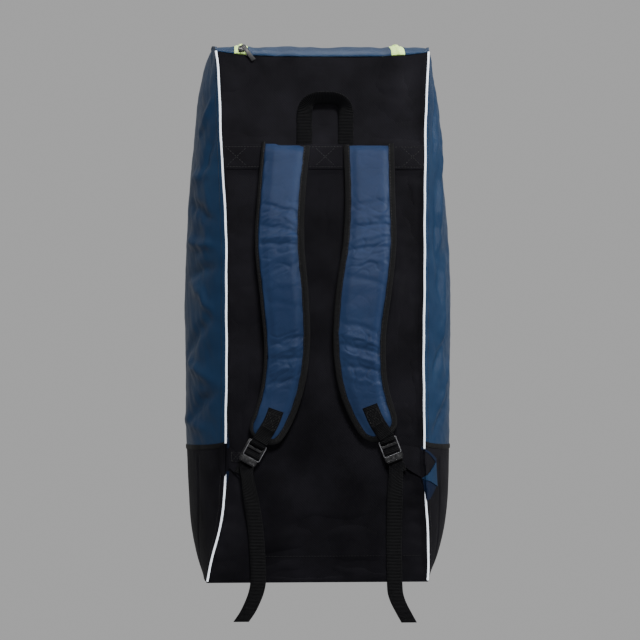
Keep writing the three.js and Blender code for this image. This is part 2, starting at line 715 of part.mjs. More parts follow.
function fromManifold(shape) {
  const mesh = shape.getMesh();
  const geometry = new THREE.BufferGeometry();
  geometry.setAttribute('position', new THREE.BufferAttribute(new Float32Array(mesh.vertProperties), 3));
  geometry.setIndex(new THREE.BufferAttribute(new Uint32Array(mesh.triVerts), 1));
  return geometry;
}

// Side view of the lip at the buckle's lower end. Along is a share of buckleLip past that end, half one
// of half the buckle's thickness and rise one of buckleLipRise, both out of its face.
const lipProfile = [
  { along: -0.7, half: 0.5, rise: 0 },
  { along: -0.2, half: -0.5, rise: 0 },
  { along: 0.25, half: 1.2, rise: 0 },
  { along: 0.2, half: 1, rise: 1 },
  { along: -0.1, half: 1, rise: 1 },
];

function buckleGeometry() {
  const [top, bottom] = [-buckleLength / 2, buckleLength / 2];
  const plate = roundedRectangle(new THREE.Shape(), buckleWidth, top, bottom, buckleFrame);
  const slotWidth = buckleWidth - 2 * buckleFrame;
  for (let i = 0; i < slotCount; i += 1) {
    const low = top + buckleBar + i * (slotLength + buckleBar);
    plate.holes.push(roundedRectangle(new THREE.Path(), slotWidth, low, low + slotLength, buckleFrame / 4));
  }
  const options = { depth: buckleThickness, bevelEnabled: false, curveSegments: 2 };
  const frame = new THREE.ExtrudeGeometry(plate, options);
  frame.translate(0, 0, -buckleThickness / 2);
  const wedge = new THREE.Shape(lipProfile.map(({ along, half, rise }) => new THREE.Vector2(
    bottom + buckleLip * along,
    half * buckleThickness / 2 + rise * buckleLipRise,
  )));
  const lip = new THREE.ExtrudeGeometry(wedge, { depth: slotWidth, bevelEnabled: false });
  // The lip is drawn in the buckle's side view, so its drawing plane is turned onto along and out.
  lip.applyMatrix4(new THREE.Matrix4().makeBasis(vec(0, 1, 0), vec(0, 0, 1), vec(1, 0, 0)));
  lip.translate(-slotWidth / 2, 0, 0);
  return fromManifold(toManifold(frame).add(toManifold(lip)));
}

function addBuckle(side) {
  const frame = buckleFrameAt(side);
  const mesh = add(`buckle_${sideName(side)}`, buckleGeometry(), 'plastic');
  const basis = new THREE.Matrix4().makeBasis(frame.across.clone().negate(), frame.down, frame.out);
  mesh.quaternion.setFromRotationMatrix(basis);
  mesh.position.copy(frame.at);
}

// Webbing that is sewn on the pad's face and folds round the buckle's upper bar. Places in the fold are
// shares of buckleBar down the buckle and of barClear out of it.
const barClear = buckleThickness / 2 + slotClearance + webbingThickness / 2;
const tabFold = [
  { along: -0.1, out: 1.12 },
  { along: 0.95, out: 1.08 },
  { along: 1.55, out: 0.6 },
  { along: 1.68, out: 0 },
  { along: 1.55, out: -0.6 },
  { along: 0.95, out: -1.08 },
  { along: -0.35, out: -1.05 },
];

function addStrapTab(side) {
  const halfWidth = webbingWidth / 2;
  const frame = buckleFrameAt(side);
  const endDrop = strapTables[sideName(side)].at(-1).drop;
  const overBinding = rimHalf + seamGap + webbingProud;
  const onPad = [1, 0.85, 0.7, 0.55, 0.4, 0.25, 0.1, 0].map((share) => {
    const spot = strapFrame(side, endDrop - share * tabLength / strapDrop);
    const out = Math.max(overBinding, spot.thick + seamGap + webbingProud);
    return { at: onFrame(spot, 0, out), across: spot.across.clone().multiplyScalar(halfWidth) };
  });
  const last = onPad.at(-1);
  const pastRim = last.at.clone().addScaledVector(frame.end.down, bindingWall + 2 * bindingClearance);
  onPad.push({ at: pastRim, across: last.across });
  const onBar = tabFold.map(({ along, out }) => ({
    at: onBuckle(frame, along * buckleBar - buckleLength / 2, out * barClear),
    across: frame.across.clone().multiplyScalar(halfWidth),
  }));
  add(`strap_tab_${sideName(side)}`, ribbon([...onPad, ...onBar], webbingThickness), 'webbing');
}

// Webbing from the seam gusset up through the buckle and out again to its free end. Places in the
// buckle are shares of buckleLength down it and of barClear out of it.
const thread = [
  { along: 0.62, out: -1.73 },
  { along: 0.235, out: -1.73 },
  { along: 0.035, out: -1.56 },
  { along: -0.029, out: -1.02 },
  { along: -0.056, out: -0.17 },
  { along: -0.038, out: 0.68 },
  { along: 0.024, out: 1.034 },
  { along: 0.138, out: 1.034 },
  { along: 0.194, out: 0.644 },
  { along: 0.218, out: -0.136 },
  { along: 0.256, out: -0.95 },
  { along: 0.324, out: -1.05 },
  { along: 0.62, out: -1.05 },
];
const anchorCourse = [1.12, 0.95, 0.78];
const tails = { left: leftTail, right: rightTail };

function addLowerWebbing(side) {
  const frame = buckleFrameAt(side);
  const wide = (vector) => vector.clone().setLength(webbingWidth / 2);
  const anchorProud = seamGap + gussetThickness + gussetLift + seamGap + webbingProud;
  const anchor = anchorCourse.map((along, i) => {
    const behind = onBuckle(frame, along * buckleLength, thread[0].out * barClear);
    const at = onBack(behind.x, behind.z, anchorProud).lerp(behind, ramp(i / anchorCourse.length));
    return { at, across: wide(frame.across) };
  });
  const threaded = thread.map(({ along, out }) => ({
    at: onBuckle(frame, along * buckleLength, out * barClear), across: wide(frame.across),
  }));
  const table = tails[sideName(side)];
  const startProud = -bagDepth / 2 - threaded.at(-1).at.y;
  const free = shares(16).map((share) => {
    const drop = lerp(table[0].drop, table.at(-1).drop, share);
    const x = frame.at.x + webbingWidth * read(table, 'drop', 'sway', drop);
    const z = frame.at.z - tailLength * drop;
    const proud = lerp(startProud, webbingProud + gussetLift, ramp(share * 2));
    const across = frame.across.clone().lerp(vec(1, 0, 0), ramp(share * 4));
    return { at: onBack(x, z, proud), across: wide(across) };
  });
  const stations = [...anchor, ...threaded, ...free];
  add(`lower_webbing_${sideName(side)}`, ribbon(stations, webbingThickness), 'webbing');
}

// Gusset in the side seam that carries the webbing: from the side panel over the piping to a tongue
// on the back panel. A reach is a share of gussetReach, positive on the side panel. The edges are
// shares of gussetHeight above gussetLevel, and lifts are shares of gussetLift.
const gussets = {
  left: [
    { reach: 0.62, low: 0.16, high: 0.5, lift: 0 },
    { reach: 0.35, low: 0.02, high: 0.57, lift: 0 },
    { reach: 0.17, low: -0.02, high: 0.58, lift: 0 },
    { reach: 0, low: -0.02, high: 0.6, lift: 0 },
    { reach: -0.4, low: 0.13, high: 0.52, lift: 0.1 },
    { reach: -1.3, low: -0.05, high: 0.4, lift: 0.7 },
    { reach: -1.9, low: -0.18, high: 0.27, lift: 0.9 },
    { reach: -2.3, low: -0.1, high: 0.15, lift: 1 },
  ],
  right: [
    { reach: 1.85, low: -0.27, high: 0.24, lift: 0.3 },
    { reach: 1.1, low: -0.36, high: 0.34, lift: 0.2 },
    { reach: 0.35, low: -0.44, high: 0.44, lift: 0 },
    { reach: 0.17, low: -0.48, high: 0.47, lift: 0 },
    { reach: 0, low: -0.49, high: 0.5, lift: 0 },
    { reach: -0.4, low: -0.06, high: 0.5, lift: 0.1 },
    { reach: -1.3, low: 0.05, high: 0.53, lift: 0.7 },
    { reach: -2.3, low: 0.2, high: 0.56, lift: 1 },
  ],
};

// A place over the side seam, `lift` millimetres off the cloth. Up to a reach of roundPiping it goes
// round the piping, and beyond that it follows the side panel.
const roundPiping = 0.35;

function overSeam(side, z, reach, lift) {
  const height = z / panelHeight;
  const seam = sidePoint(side, height, 0);
  if (reach < 0) return onBack(seam.x + side * reach * gussetReach, z, lift);
  if (reach < roundPiping) {
    const bump = pipingDiameter / 2 + lift + seamGap;
    const angle = reach / roundPiping * Math.PI / 2;
    return vec(seam.x + side * bump * Math.sin(angle), seam.y - bump * Math.cos(angle), z);
  }
  const far = sidePoint(side, height, turnFromSeam(side, height, reach * gussetReach));
  const away = far.clone().sub(seam).setZ(0).normalize();
  const out = vec(side * Math.abs(away.y), -Math.abs(away.x), 0);
  return vec(far.x, far.y, z).addScaledVector(out, lift);
}

function addGusset(side) {
  const rows = gussets[sideName(side)];
  const grid = rows.map(({ reach, low, high, lift }) => shares(3).map((share) => {
    const z = gussetLevel + gussetHeight * lerp(low, high, share);
    const overTape = reach > 0 ? tapeThickness + seamGap : 0;
    return overSeam(side, z, reach, seamGap + overTape + gussetThickness / 2 + lift * gussetLift);
  }));
  add(`gusset_${sideName(side)}`, skin(grid, gussetThickness / 2, -gussetThickness / 2), 'blueCloth');
}

// Zip slider on the left leg of the zip, with its pull hanging over the back panel's upper edge. Shifts
// and rises are shares of pullLength from the slider's x and the panel's edge, and proud is a share of
// the pull's height above the tape at the slider.
const sliderRun = 21;
const pullCourse = [
  { shift: 0.1, rise: 0.5, proud: 0.75 },
  { shift: 0.36, rise: 0.13, proud: 0.75 },
  { shift: 0.63, rise: -0.21, proud: 0.5 },
];

function addZipSlider() {
  const x = zipShift - zipSpan / 2;
  const at = wrapPoint(x, sliderRun);
  const ahead = wrapPoint(x, sliderRun + 1).sub(wrapPoint(x, sliderRun - 1)).normalize();
  const out = vec(1, 0, 0).cross(ahead).normalize();
  if (out.z < 0) out.negate();
  const body = new THREE.Shape();
  roundedRectangle(body, sliderWidth, -sliderLength / 2, sliderLength / 2, sliderWidth / 3);
  const options = { depth: sliderThickness, bevelEnabled: false, curveSegments: 3 };
  const slider = add('zip_slider', new THREE.ExtrudeGeometry(body, options), 'plastic');
  const across = ahead.clone().cross(out);
  slider.quaternion.setFromRotationMatrix(new THREE.Matrix4().makeBasis(across, ahead, out));
  slider.position.copy(at).addScaledVector(out, seamGap);
  const lifted = 3 * seamGap + sliderThickness + pullThickness;
  const hanging = pullCourse.map(({ shift, rise, proud }) => (
    onBack(x + pullLength * shift, topEdge(0) + pullLength * rise, lifted * proud)
  ));
  const places = [at.clone().addScaledVector(out, lifted), ...hanging];
  const way = hanging.at(-1).clone().sub(hanging[0]);
  const wide = vec(0, -1, 0).cross(way).setLength(pullWidth / 2);
  const stations = places.map((place) => ({ at: place, across: wide }));
  add('zip_pull', ribbon(stations, pullThickness), 'plastic');
}

const wasm = await Module();
wasm.setup();

addBackPanel();
addFrontLower();
addZipAndFront();
addZipSlider();
addBasePanel();
addBand();
addHaulLoop();
for (const side of [-1, 1]) {
  addSidePanels(side);
  addPiping(side);
  addStrapPad(side);
  addStrapBinding(side);
  addStrapTab(side);
  addBuckle(side);
  addGusset(side);
  addLowerWebbing(side);
}

// The bag hangs from the underside of the haul loop's apex, which is the origin.
const hangPoint = onBack(loopShift, gripUnderside, webbingProud + loopStandoff);
bag.position.copy(hangPoint).negate();
const part = new THREE.Group();
part.add(bag);

export default part;
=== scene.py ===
"""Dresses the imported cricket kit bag: woven cloth, piping, webbing, padded straps and moulded buckles."""

import logging
import math
from dataclasses import dataclass
from enum import Enum

import bmesh
import bpy
import numpy as np
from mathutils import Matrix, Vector


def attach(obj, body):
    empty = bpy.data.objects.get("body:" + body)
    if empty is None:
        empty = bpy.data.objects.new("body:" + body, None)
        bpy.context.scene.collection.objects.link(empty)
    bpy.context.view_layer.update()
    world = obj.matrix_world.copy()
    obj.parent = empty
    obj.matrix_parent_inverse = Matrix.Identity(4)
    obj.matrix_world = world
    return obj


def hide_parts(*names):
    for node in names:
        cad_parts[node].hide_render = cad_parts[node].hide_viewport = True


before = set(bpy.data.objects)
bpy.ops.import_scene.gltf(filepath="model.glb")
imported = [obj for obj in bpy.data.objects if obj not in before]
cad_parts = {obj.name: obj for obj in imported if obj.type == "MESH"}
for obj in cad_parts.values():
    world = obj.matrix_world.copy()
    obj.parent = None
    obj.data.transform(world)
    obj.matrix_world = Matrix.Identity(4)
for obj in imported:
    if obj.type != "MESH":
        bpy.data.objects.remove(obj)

log = logging.getLogger("kit_bag")
Array = np.ndarray
MM = 0.001
SIDES = (-1, 1)


def side_name(side: int) -> str:
    """The word for a side: -1 is left and 1 is right."""
    return "left" if side < 0 else "right"


def ramp(value: Array, low: float = 0.0, high: float = 1.0) -> Array:
    """Smooth step from 0 at low to 1 at high: 3t^2 - 2t^3 of the clamped share t."""
    t = np.clip((np.asarray(value, float) - low) / (high - low), 0, 1)
    return t * t * (3 - 2 * t)


def through(keys: Array, values: Array, at: Array) -> Array:
    """Reads a table smoothly, with cubic pieces whose slopes are the chords across each row.

    Args:
        keys: rising places of the rows.
        values: one value for each row.
        at: places to read, of any shape.

    Returns:
        The values there.
    """
    keys, values, at = (np.asarray(x, float) for x in (keys, values, at))
    index = np.arange(len(keys))
    before, after = np.maximum(index - 1, 0), np.minimum(index + 1, len(keys) - 1)
    slope = (values[after] - values[before]) / (keys[after] - keys[before])
    row = np.clip(np.searchsorted(keys, at), 1, len(keys) - 1)
    span = keys[row] - keys[row - 1]
    t = np.clip((at - keys[row - 1]) / span, 0, 1)
    rise = values[row] - values[row - 1]
    start, end = slope[row - 1] * span - rise, rise - slope[row] * span
    return values[row - 1] + t * rise + t * (1 - t) * ((1 - t) * start + t * end)


def stacked(x: Array, y: Array, z: Array) -> Array:
    """Points from three arrays that broadcast together."""
    return np.stack(np.broadcast_arrays(x, y, z), -1).astype(float)


def unit(vectors: Array) -> Array:
    """The vectors at length 1."""
    return vectors / np.maximum(np.linalg.norm(vectors, axis=-1, keepdims=True), 1e-12)


def densify(points: Array, times: int) -> Array:
    """Adds points on a Catmull-Rom curve through the given ones.

    Args:
        points: an array of places or vectors, one row each.
        times: how many steps replace each step.

    Returns:
        The longer array, with the same first and last row.
    """
    t = np.linspace(0, len(points) - 1, (len(points) - 1) * times + 1)
    keys = np.arange(len(points))
    return np.stack([through(keys, points[:, i], t) for i in range(points.shape[1])], -1)


def crumple(u: Array, v: Array, size: float, seed: int, waves: int = 12) -> Array:
    """Soft random relief: a sum of plane waves of seeded direction, length and phase.

    Args:
        u: first coordinate on the cloth in millimetres.
        v: second coordinate.
        size: the usual wave length in millimetres.
        seed: chooses the waves.
        waves: how many there are.

    Returns:
        Relief of about -1 to 1.
    """
    rng = np.random.default_rng(seed)
    total = np.zeros(np.broadcast(u, v).shape)
    for _ in range(waves):
        angle, phase, rate = rng.uniform(0, math.pi), rng.uniform(0, 2 * math.pi), rng.uniform(0.6, 1.7)
        total += np.cos((u * math.cos(angle) + v * math.sin(angle)) * 2 * math.pi * rate / size + phase)
    return total / math.sqrt(2 * waves)


@dataclass(frozen=True)
class Fold:
    """A crease in cloth: its middle, direction in degrees, length, width and depth in millimetres."""

    u: float
    v: float
    angle: float
    length: float
    width: float
    depth: float

    # Bend as a share of the length, waver as a share of the width, and how fast the ends fade.
    BEND, WAVER, FADE = 0.12, 0.35, 1.6

    def relief(self, u: Array, v: Array) -> Array:
        """A bell across the crease that dies away along it, with a slight bend and waver."""
        turn = math.radians(self.angle)
        along = (u - self.u) * math.cos(turn) + (v - self.v) * math.sin(turn)
        across = (v - self.v) * math.cos(turn) - (u - self.u) * math.sin(turn)
        across = across + self.BEND * self.length * (along / self.length) ** 2
        waver = crumple(along, 0.3 * across, self.length * 0.5, int(abs(self.v)))
        across = across + self.WAVER * self.width * waver
        fade = np.abs(along / self.length * self.FADE) ** 3
        return self.depth * np.exp(-((across / self.width) ** 2) - fade)


def folded(rows: list, u: Array, v: Array) -> Array:
    """Relief of all folds of a table, whose rows are u, v, angle, length, width and depth."""
    return sum(Fold(*row).relief(u, v) for row in rows)


@dataclass(frozen=True)
class BagForm:
    """The bag's outer cloth in millimetres from its base up. SECTIONS holds height, left seam, right
    seam, left swell, right swell and depth, as shares of the sizes below."""

    panel_height: float = 790.0
    panel_width: float = 297.0
    bag_depth: float = 300.0
    corner_rise: float = 8.0
    top_dome: float = 26.0
    side_dome: float = 16.0
    side_swell: float = 62.0
    back_swell: float = 8.0
    front_swell: float = 22.0
    bow_power: float = 0.75
    cloth: float = 2.0
    gap: float = 0.3
    pipe_inset: float = 2.1
    # How far the front cloth stays inside the side cloth: negative, so they overlap and no light shows.
    butt_inset: float = -0.2
    lower_height: float = 190.0
    lower_rise: float = 20.0
    # Where the haul loop's underside is: x, z and distance off the back panel.
    hang_across: float = 4.5
    hang_height: float = 717.025
    hang_proud: float = 21.1

    SECTIONS = np.array([
        [0, 1.162, 1.076, 0.09, 0.12, 0.93], [0.035, 1.126, 1.081, 0.35, 0.4, 0.96],
        [0.092, 1.045, 1.076, 0.69, 0.62, 0.985], [0.149, 0.995, 1.061, 0.86, 0.74, 1],
        [0.263, 0.972, 1.04, 0.96, 0.83, 1], [0.5, 0.965, 1.037, 1.01, 0.86, 1],
        [0.633, 0.967, 1.045, 0.98, 0.78, 1], [0.747, 0.99, 1.045, 0.84, 0.66, 0.985],
        [0.861, 1.025, 1.051, 0.61, 0.53, 0.955], [0.918, 1.035, 1.066, 0.53, 0.41, 0.93],
        [0.975, 1.051, 1.076, 0.32, 0.26, 0.9], [1, 1.067, 1.081, 0.13, 0.11, 0.88],
    ])

    def section(self, column: int, height: Array) -> Array:
        """A column of SECTIONS at a height share."""
        return through(self.SECTIONS[:, 0], self.SECTIONS[:, column], height)

    def seam(self, side: int, height: Array) -> Array:
        """x of a side's back seam at a height share."""
        return side * self.panel_width / 2 * self.section(1 if side < 0 else 2, height)

    def depth(self, height: Array) -> Array:
        """Depth of the bag at a height share."""
        return self.bag_depth * self.section(5, height)

    def top_edge(self, across: Array) -> Array:
        """Height of the upper edge: it rises towards the corners with the fourth power."""
        return self.panel_height + self.corner_rise * across**4

    def arch(self, height: Array) -> Array:
        """The share of a face's swell at a height: the root of a half sine, none at both ends."""
        return np.sqrt(np.maximum(np.sin(np.pi * np.clip(height, 0, 1)), 0))

    def across(self, x: Array, height: Array) -> Array:
        """Where x lies between the back seams, from -1 to 1."""
        left = self.seam(-1, height)
        return 2 * (x - left) / (self.seam(1, height) - left) - 1

    def on_back(self, x: Array, z: Array, proud: Array = 0.0) -> Array:
        """Points over the back panel at real x and z, proud millimetres in front of its face, whose
        swell is a parabola across the panel times the arch."""
        height = np.asarray(z) / self.panel_height
        across = np.clip(self.across(x, height), -1, 1)
        swell = self.back_swell * (1 - across**2) * self.arch(height)
        return stacked(x, -self.bag_depth / 2 - swell - proud, z)

    def side_top(self, turn: Array) -> Array:
        """Height of a side panel's upper edge, a half sine above the corners."""
        return self.panel_height + self.corner_rise + self.side_dome * np.sin(np.pi * turn)

    def side_point(self, side: int, height: Array, turn: Array) -> Array:
        """Points of a side panel: x bows out by a power of a half sine, y runs back to front.

        Args:
            side: -1 or 1.
            height: share of the side's height.
            turn: 0 at the back seam and 1 at the front seam.

        Returns:
            The points.
        """
        share = (1 - np.cos(np.pi * turn)) / 2
        bow = np.maximum(np.sin(np.pi * share), 0) ** self.bow_power
        swell = self.side_swell * self.section(3 if side < 0 else 4, height) * bow
        return stacked(self.seam(side, height) + side * swell,
                       -self.bag_depth / 2 + self.depth(height) * share, height * self.side_top(turn))

    def turn_from_seam(self, side: int, height: Array, distance: Array) -> Array:
        """The turn at which a side panel has left its back seam by a distance, found by halving."""
        low = np.zeros(np.broadcast(height, distance).shape)
        high = low + 0.5
        seam = self.side_point(side, height, 0.0)
        for _ in range(22):
            middle = (low + high) / 2
            away = self.side_point(side, height, middle) - seam
            near = np.hypot(away[..., 0], away[..., 1]) < distance
            low, high = np.where(near, middle, low), np.where(near, high, middle)
        return high

    def lower_edge(self, turn: Array) -> Array:
        """Height share of the line between a side's blue and black cloth."""
        return (self.lower_height + self.lower_rise * (1 - turn) ** 2) / self.side_top(turn)

    @property
    def top_run(self) -> float:
        """Length of the top, from the back panel's edge to the front."""
        return float(self.depth(1.0))

    def wrap_edge(self, side: int, run: Array) -> Array:
        """x of a side's edge of the top and front at a run along them."""
        down = self.seam(side, 1 - (run - self.top_run) / self.panel_height)
        over = self.side_point(side, 1.0, np.clip(run / self.top_run, 0, 1))[..., 0]
        return np.where(run >= self.top_run, down, over)

    def wrap_inside(self, run: Array, share: Array) -> Array:
        """x at a share of the way between both side panels, from left to right, at a run."""
        left = self.wrap_edge(-1, run) + self.butt_inset
        right = self.wrap_edge(1, run) - self.butt_inset
        return left + (right - left) * share

    def wrap(self, x: Array, run: Array) -> Array:
        """Points of the top and the front, one surface: a dome over the top, then down the front with
        a swell that is a parabola across it.

        Args:
            x: real x.
            run: distance from the back panel's upper edge.

        Returns:
            The points.
        """
        left = self.wrap_edge(-1, run)
        across = 2 * (x - left) / (self.wrap_edge(1, run) - left) - 1
        turn = np.clip(run / self.top_run, 0, 1)
        rise = (self.top_dome + (self.side_dome - self.top_dome) * across**4) * np.sin(np.pi * turn)
        over = stacked(x, -self.bag_depth / 2 + self.top_run * (1 - np.cos(np.pi * turn)) / 2,
                       self.top_edge(across) + rise)
        height = 1 - (run - self.top_run) / self.panel_height
        swell = self.front_swell * (1 - across**2) * self.arch(height)
        down = stacked(x, -self.bag_depth / 2 + self.depth(height) + swell, height * self.top_edge(across))
        return np.where((run < self.top_run)[..., None] if np.ndim(run) else run < self.top_run, over, down)

    @property
    def hang_point(self) -> Array:
        """The middle of the webbing under the haul loop's apex, which is the row's origin."""
        return self.on_back(self.hang_across, self.hang_height, self.hang_proud)

    def place(self, points: Array) -> Array:
        """Bag millimetres as metres in the row frame."""
        return (points - self.hang_point) * MM


FORM = BagForm()


def normals_of(grid: Array) -> Array:
    """Unit normals of a grid by central differences, turned away from the middle of the bag."""
    along = np.gradient(grid, axis=1)
    up = np.gradient(grid, axis=0)
    normal = unit(np.cross(along, up))
    away = grid - np.array([0, 0, FORM.panel_height / 2])
    return normal * np.where((normal * away).sum(-1, keepdims=True) < 0, -1, 1)


def cloth_uv(grid: Array) -> Array:
    """Cloth coordinates of a grid in millimetres: the length run along its rows and its columns."""
    u = np.zeros(grid.shape[:2])
    v = np.zeros(grid.shape[:2])
    u[:, 1:] = np.linalg.norm(np.diff(grid, axis=1), axis=-1).cumsum(1)
    v[1:] = np.linalg.norm(np.diff(grid, axis=0), axis=-1).cumsum(0)
    return np.stack([u - u.mean(1, keepdims=True), v], -1)


@dataclass
class Shell:
    """Plain mesh data: vertices in bag millimetres, faces and one cloth coordinate per vertex."""

    vertices: Array
    faces: list
    uv: Array

    def outward(self) -> "Shell":
        """The same closed shell with every face turned so that its volume is positive."""
        volume = 0.0
        for corners in {len(f) for f in self.faces}:
            group = np.array([f for f in self.faces if len(f) == corners])
            for k in range(1, corners - 1):
                a, b, c = (self.vertices[group[:, i]] for i in (0, k, k + 1))
                volume += float((a * np.cross(b, c)).sum())
        if volume < 0:
            self.faces = [tuple(reversed(f)) for f in self.faces]
        return self

    @staticmethod
    def joined(shells: list) -> "Shell":
        """Several shells as one."""
        faces, base = [], 0
        for shell in shells:
            faces += [tuple(int(i) + base for i in f) for f in shell.faces]
            base += len(shell.vertices)
        return Shell(np.concatenate([s.vertices for s in shells]), faces,
                     np.concatenate([s.uv for s in shells]))


def slab(outer: Array, inner: Array, uv: Array) -> Shell:
    """A closed sheet between two grids: both faces and a rim of quads round them."""
    rows, columns = outer.shape[:2]
    index = np.arange(rows * columns).reshape(rows, columns)
    quads = np.stack([index[:-1, :-1], index[:-1, 1:], index[1:, 1:], index[1:, :-1]], -1).reshape(-1, 4)
    rim = np.concatenate([index[0, :-1], index[:-1, -1], index[-1, :0:-1], index[:0:-1, 0]])
    after = np.roll(rim, -1)
    edge = np.stack([after, rim, rim + index.size, after + index.size], -1)
    faces = np.concatenate([quads, quads[:, ::-1] + index.size, edge]).tolist()
    flat = uv.reshape(-1, 2)
    points = np.concatenate([outer.reshape(-1, 3), inner.reshape(-1, 3)])
    return Shell(points, faces, np.concatenate([flat, flat])).outward()


def skin(grid: Array, high: Array, low: Array) -> Shell:
    """A sheet over a grid, from high above it to low, both along its normals."""
    normal = normals_of(grid)
    outer, inner = (grid + normal * np.asarray(side, float)[..., None] for side in (high, low))
    return slab(outer, inner, cloth_uv(grid))


def loft(rings: Array, closed_path: bool = False) -> Shell:
    """A closed tube through rings of points, with flat ends unless the path closes on itself.

    Args:
        rings: array of rings by points by 3.
        closed_path: whether the last ring joins the first.

    Returns:
        The shell, with cloth coordinates round and along it.
    """
    count, sides = rings.shape[:2]
    index = np.arange(count * sides).reshape(count, sides)
    a = index if closed_path else index[:-1]
    b = np.roll(index, -1, 0) if closed_path else index[1:]
    faces = np.stack([a, np.roll(a, -1, 1), np.roll(b, -1, 1), b], -1).reshape(-1, 4).tolist()
    if not closed_path:
        faces += [index[0, ::-1].tolist(), index[-1].tolist()]
    along = np.linalg.norm(np.diff(rings.mean(1), axis=0), axis=-1).cumsum()
    v = np.concatenate([[0], along])[:, None] + np.zeros((1, sides))
    middle = rings.mean(1, keepdims=True)
    axis = unit(rings[:, :1] - middle)
    u = ((rings - middle) * axis).sum(-1)
    return Shell(rings.reshape(-1, 3), faces, np.stack([u, v], -1).reshape(-1, 2)).outward()


def tube(path: Array, wide: Array, out: Array, radius: Array, sides: int) -> Array:
    """Rings round a line, for loft: wide and out are the unit directions across it."""
    around = np.linspace(0, 2 * math.pi, sides, endpoint=False)[None, :, None]
    return path[:, None] + radius * (wide[:, None] * np.cos(around) + out * np.sin(around))


# Outline of webbing, thicker at its selvedges: shares of half its width and half its thickness.
RIBBON = np.array([[-1, 0], [-0.975, 0.62], [-0.92, 1], [-0.45, 0.94], [0, 0.9], [0.45, 0.94], [0.92, 1],
                   [0.975, 0.62], [1, 0], [0.975, -0.62], [0.92, -1], [0.45, -0.94], [0, -0.9],
                   [-0.45, -0.94], [-0.92, -1], [-0.975, -0.62]])


def ribbon(places: Array, across: Array, thickness: float) -> Shell:
    """Flat webbing along a middle line; across holds vectors over half of its width."""
    through_it = unit(np.cross(np.gradient(places, axis=0), across)) * thickness / 2
    sides = across[:, None] * RIBBON[None, :, :1] + through_it[:, None] * RIBBON[None, :, 1:]
    return loft(places[:, None] + sides)


def read_rows(at: Array, keys: Array, rows: Array) -> Array:
    """Rows of an array, read linearly at places along its rising keys."""
    return np.stack([np.interp(at, keys, column) for column in rows.T], -1)


def evenly(path: Array, spacing: float, *others: Array) -> tuple:
    """Places at equal steps along a dense line, with the heading there and other arrays read there."""
    length = np.concatenate([[0], np.linalg.norm(np.diff(path, axis=0), axis=-1).cumsum()])
    count = max(int(length[-1] / spacing), 1)
    at = (np.arange(count) + 0.5) * length[-1] / count
    heading = read_rows(at + 0.5, length, path) - read_rows(at - 0.5, length, path)
    return (read_rows(at, length, path), unit(heading), *(read_rows(at, length, rows) for rows in others))


def beads(at: Array, long: Array, out: Array, size: tuple) -> Shell:
    """Small rounded pieces such as stitches and zip coils: squashed spheres of 5 rings.

    Args:
        at: middles.
        long: unit directions of their length.
        out: unit directions out of the surface.
        size: half length, half width and half height in millimetres.

    Returns:
        One shell that holds them all.
    """
    rings, sides, tip = 5, 6, 0.12
    polar = np.linspace(tip, math.pi - tip, rings)[:, None]
    around = np.arange(sides)[None] * 2 * math.pi / sides
    ball = stacked(np.cos(polar), np.sin(polar) * np.cos(around), np.sin(polar) * np.sin(around))
    wide = unit(np.cross(out, long))
    frame_of = np.stack([long * size[0], wide * size[1], unit(np.cross(long, wide)) * size[2]], 1)
    points = at[:, None] + np.einsum("pk,nkc->npc", ball.reshape(-1, 3), frame_of)
    index = np.arange(rings * sides).reshape(rings, sides)
    after = np.roll(index, -1, 1)
    quads = np.stack([index[:-1], after[:-1], after[1:], index[1:]], -1).reshape(-1, 4)
    base = (np.arange(len(at)) * rings * sides)[:, None, None]
    faces = (quads[None] + base).reshape(-1, 4).tolist()
    faces += (index[0, ::-1][None] + base[:, 0]).tolist() + (index[-1][None] + base[:, 0]).tolist()
    return Shell(points.reshape(-1, 3), faces, np.zeros((points.size // 3, 2))).outward()


# Half length, half width and half height of a lockstitch, and how far its middle stands out.
STITCH, STITCH_RISE = (1.6, 0.42, 0.38), 0.15


def stitches(path: Array, out: Array, spacing: float = 4.6) -> Shell:
    """A row of lockstitches that lie on a line, pointing along it."""
    at, heading, up = evenly(path, spacing, out)
    return beads(at + unit(up) * STITCH_RISE, heading, unit(up), STITCH)


def linear(colour: str) -> tuple:
    """An sRGB hex colour as linear RGBA: each channel c is c/12.92 up to 0.04045 and
    ((c + 0.055)/1.055)^2.4 above."""
    srgb = [int(colour[i:i + 2], 16) / 255 for i in (0, 2, 4)]
    return (*[c / 12.92 if c <= 0.04045 else ((c + 0.055) / 1.055) ** 2.4 for c in srgb], 1.0)


def add_node(material: bpy.types.Material, kind: str, settings: dict | None = None,
             links: dict | None = None) -> bpy.types.Node:
    """Adds a shader node with its settings and links.

    Args:
        material: the material that gets the node.
        kind: the node's type name.
        settings: values by socket name or number, or by property name.
        links: output sockets by input name or number.

    Returns:
        The node.
    """
    node = material.node_tree.nodes.new(kind)
    for name, value in (settings or {}).items():
        if not isinstance(name, int) and hasattr(node, name):
            setattr(node, name, value)
        else:
            node.inputs[name].default_value = value
    for name, source in (links or {}).items():
        material.node_tree.links.new(source, node.inputs[name])
    return node


def map_range(material: bpy.types.Material, source: bpy.types.NodeSocket, from_range: tuple,
              to_range: tuple) -> bpy.types.NodeSocket:
    """Maps a value from one range, given by its two ends, to another."""
    ends = {1: from_range[0], 2: from_range[1], 3: to_range[0], 4: to_range[1]}
    return add_node(material, "ShaderNodeMapRange", ends, {0: source}).outputs[0]


def set_inputs(shader: bpy.types.Node, values: dict) -> None:
    """Sets a node's inputs by name."""
    for name, value in values.items():
        shader.inputs[name].default_value = value


def principled(name: str) -> tuple:
    """A new material and its Principled shader."""
    material = bpy.data.materials.new(name)
    material.use_nodes = True
    return material, material.node_tree.nodes["Principled BSDF"]


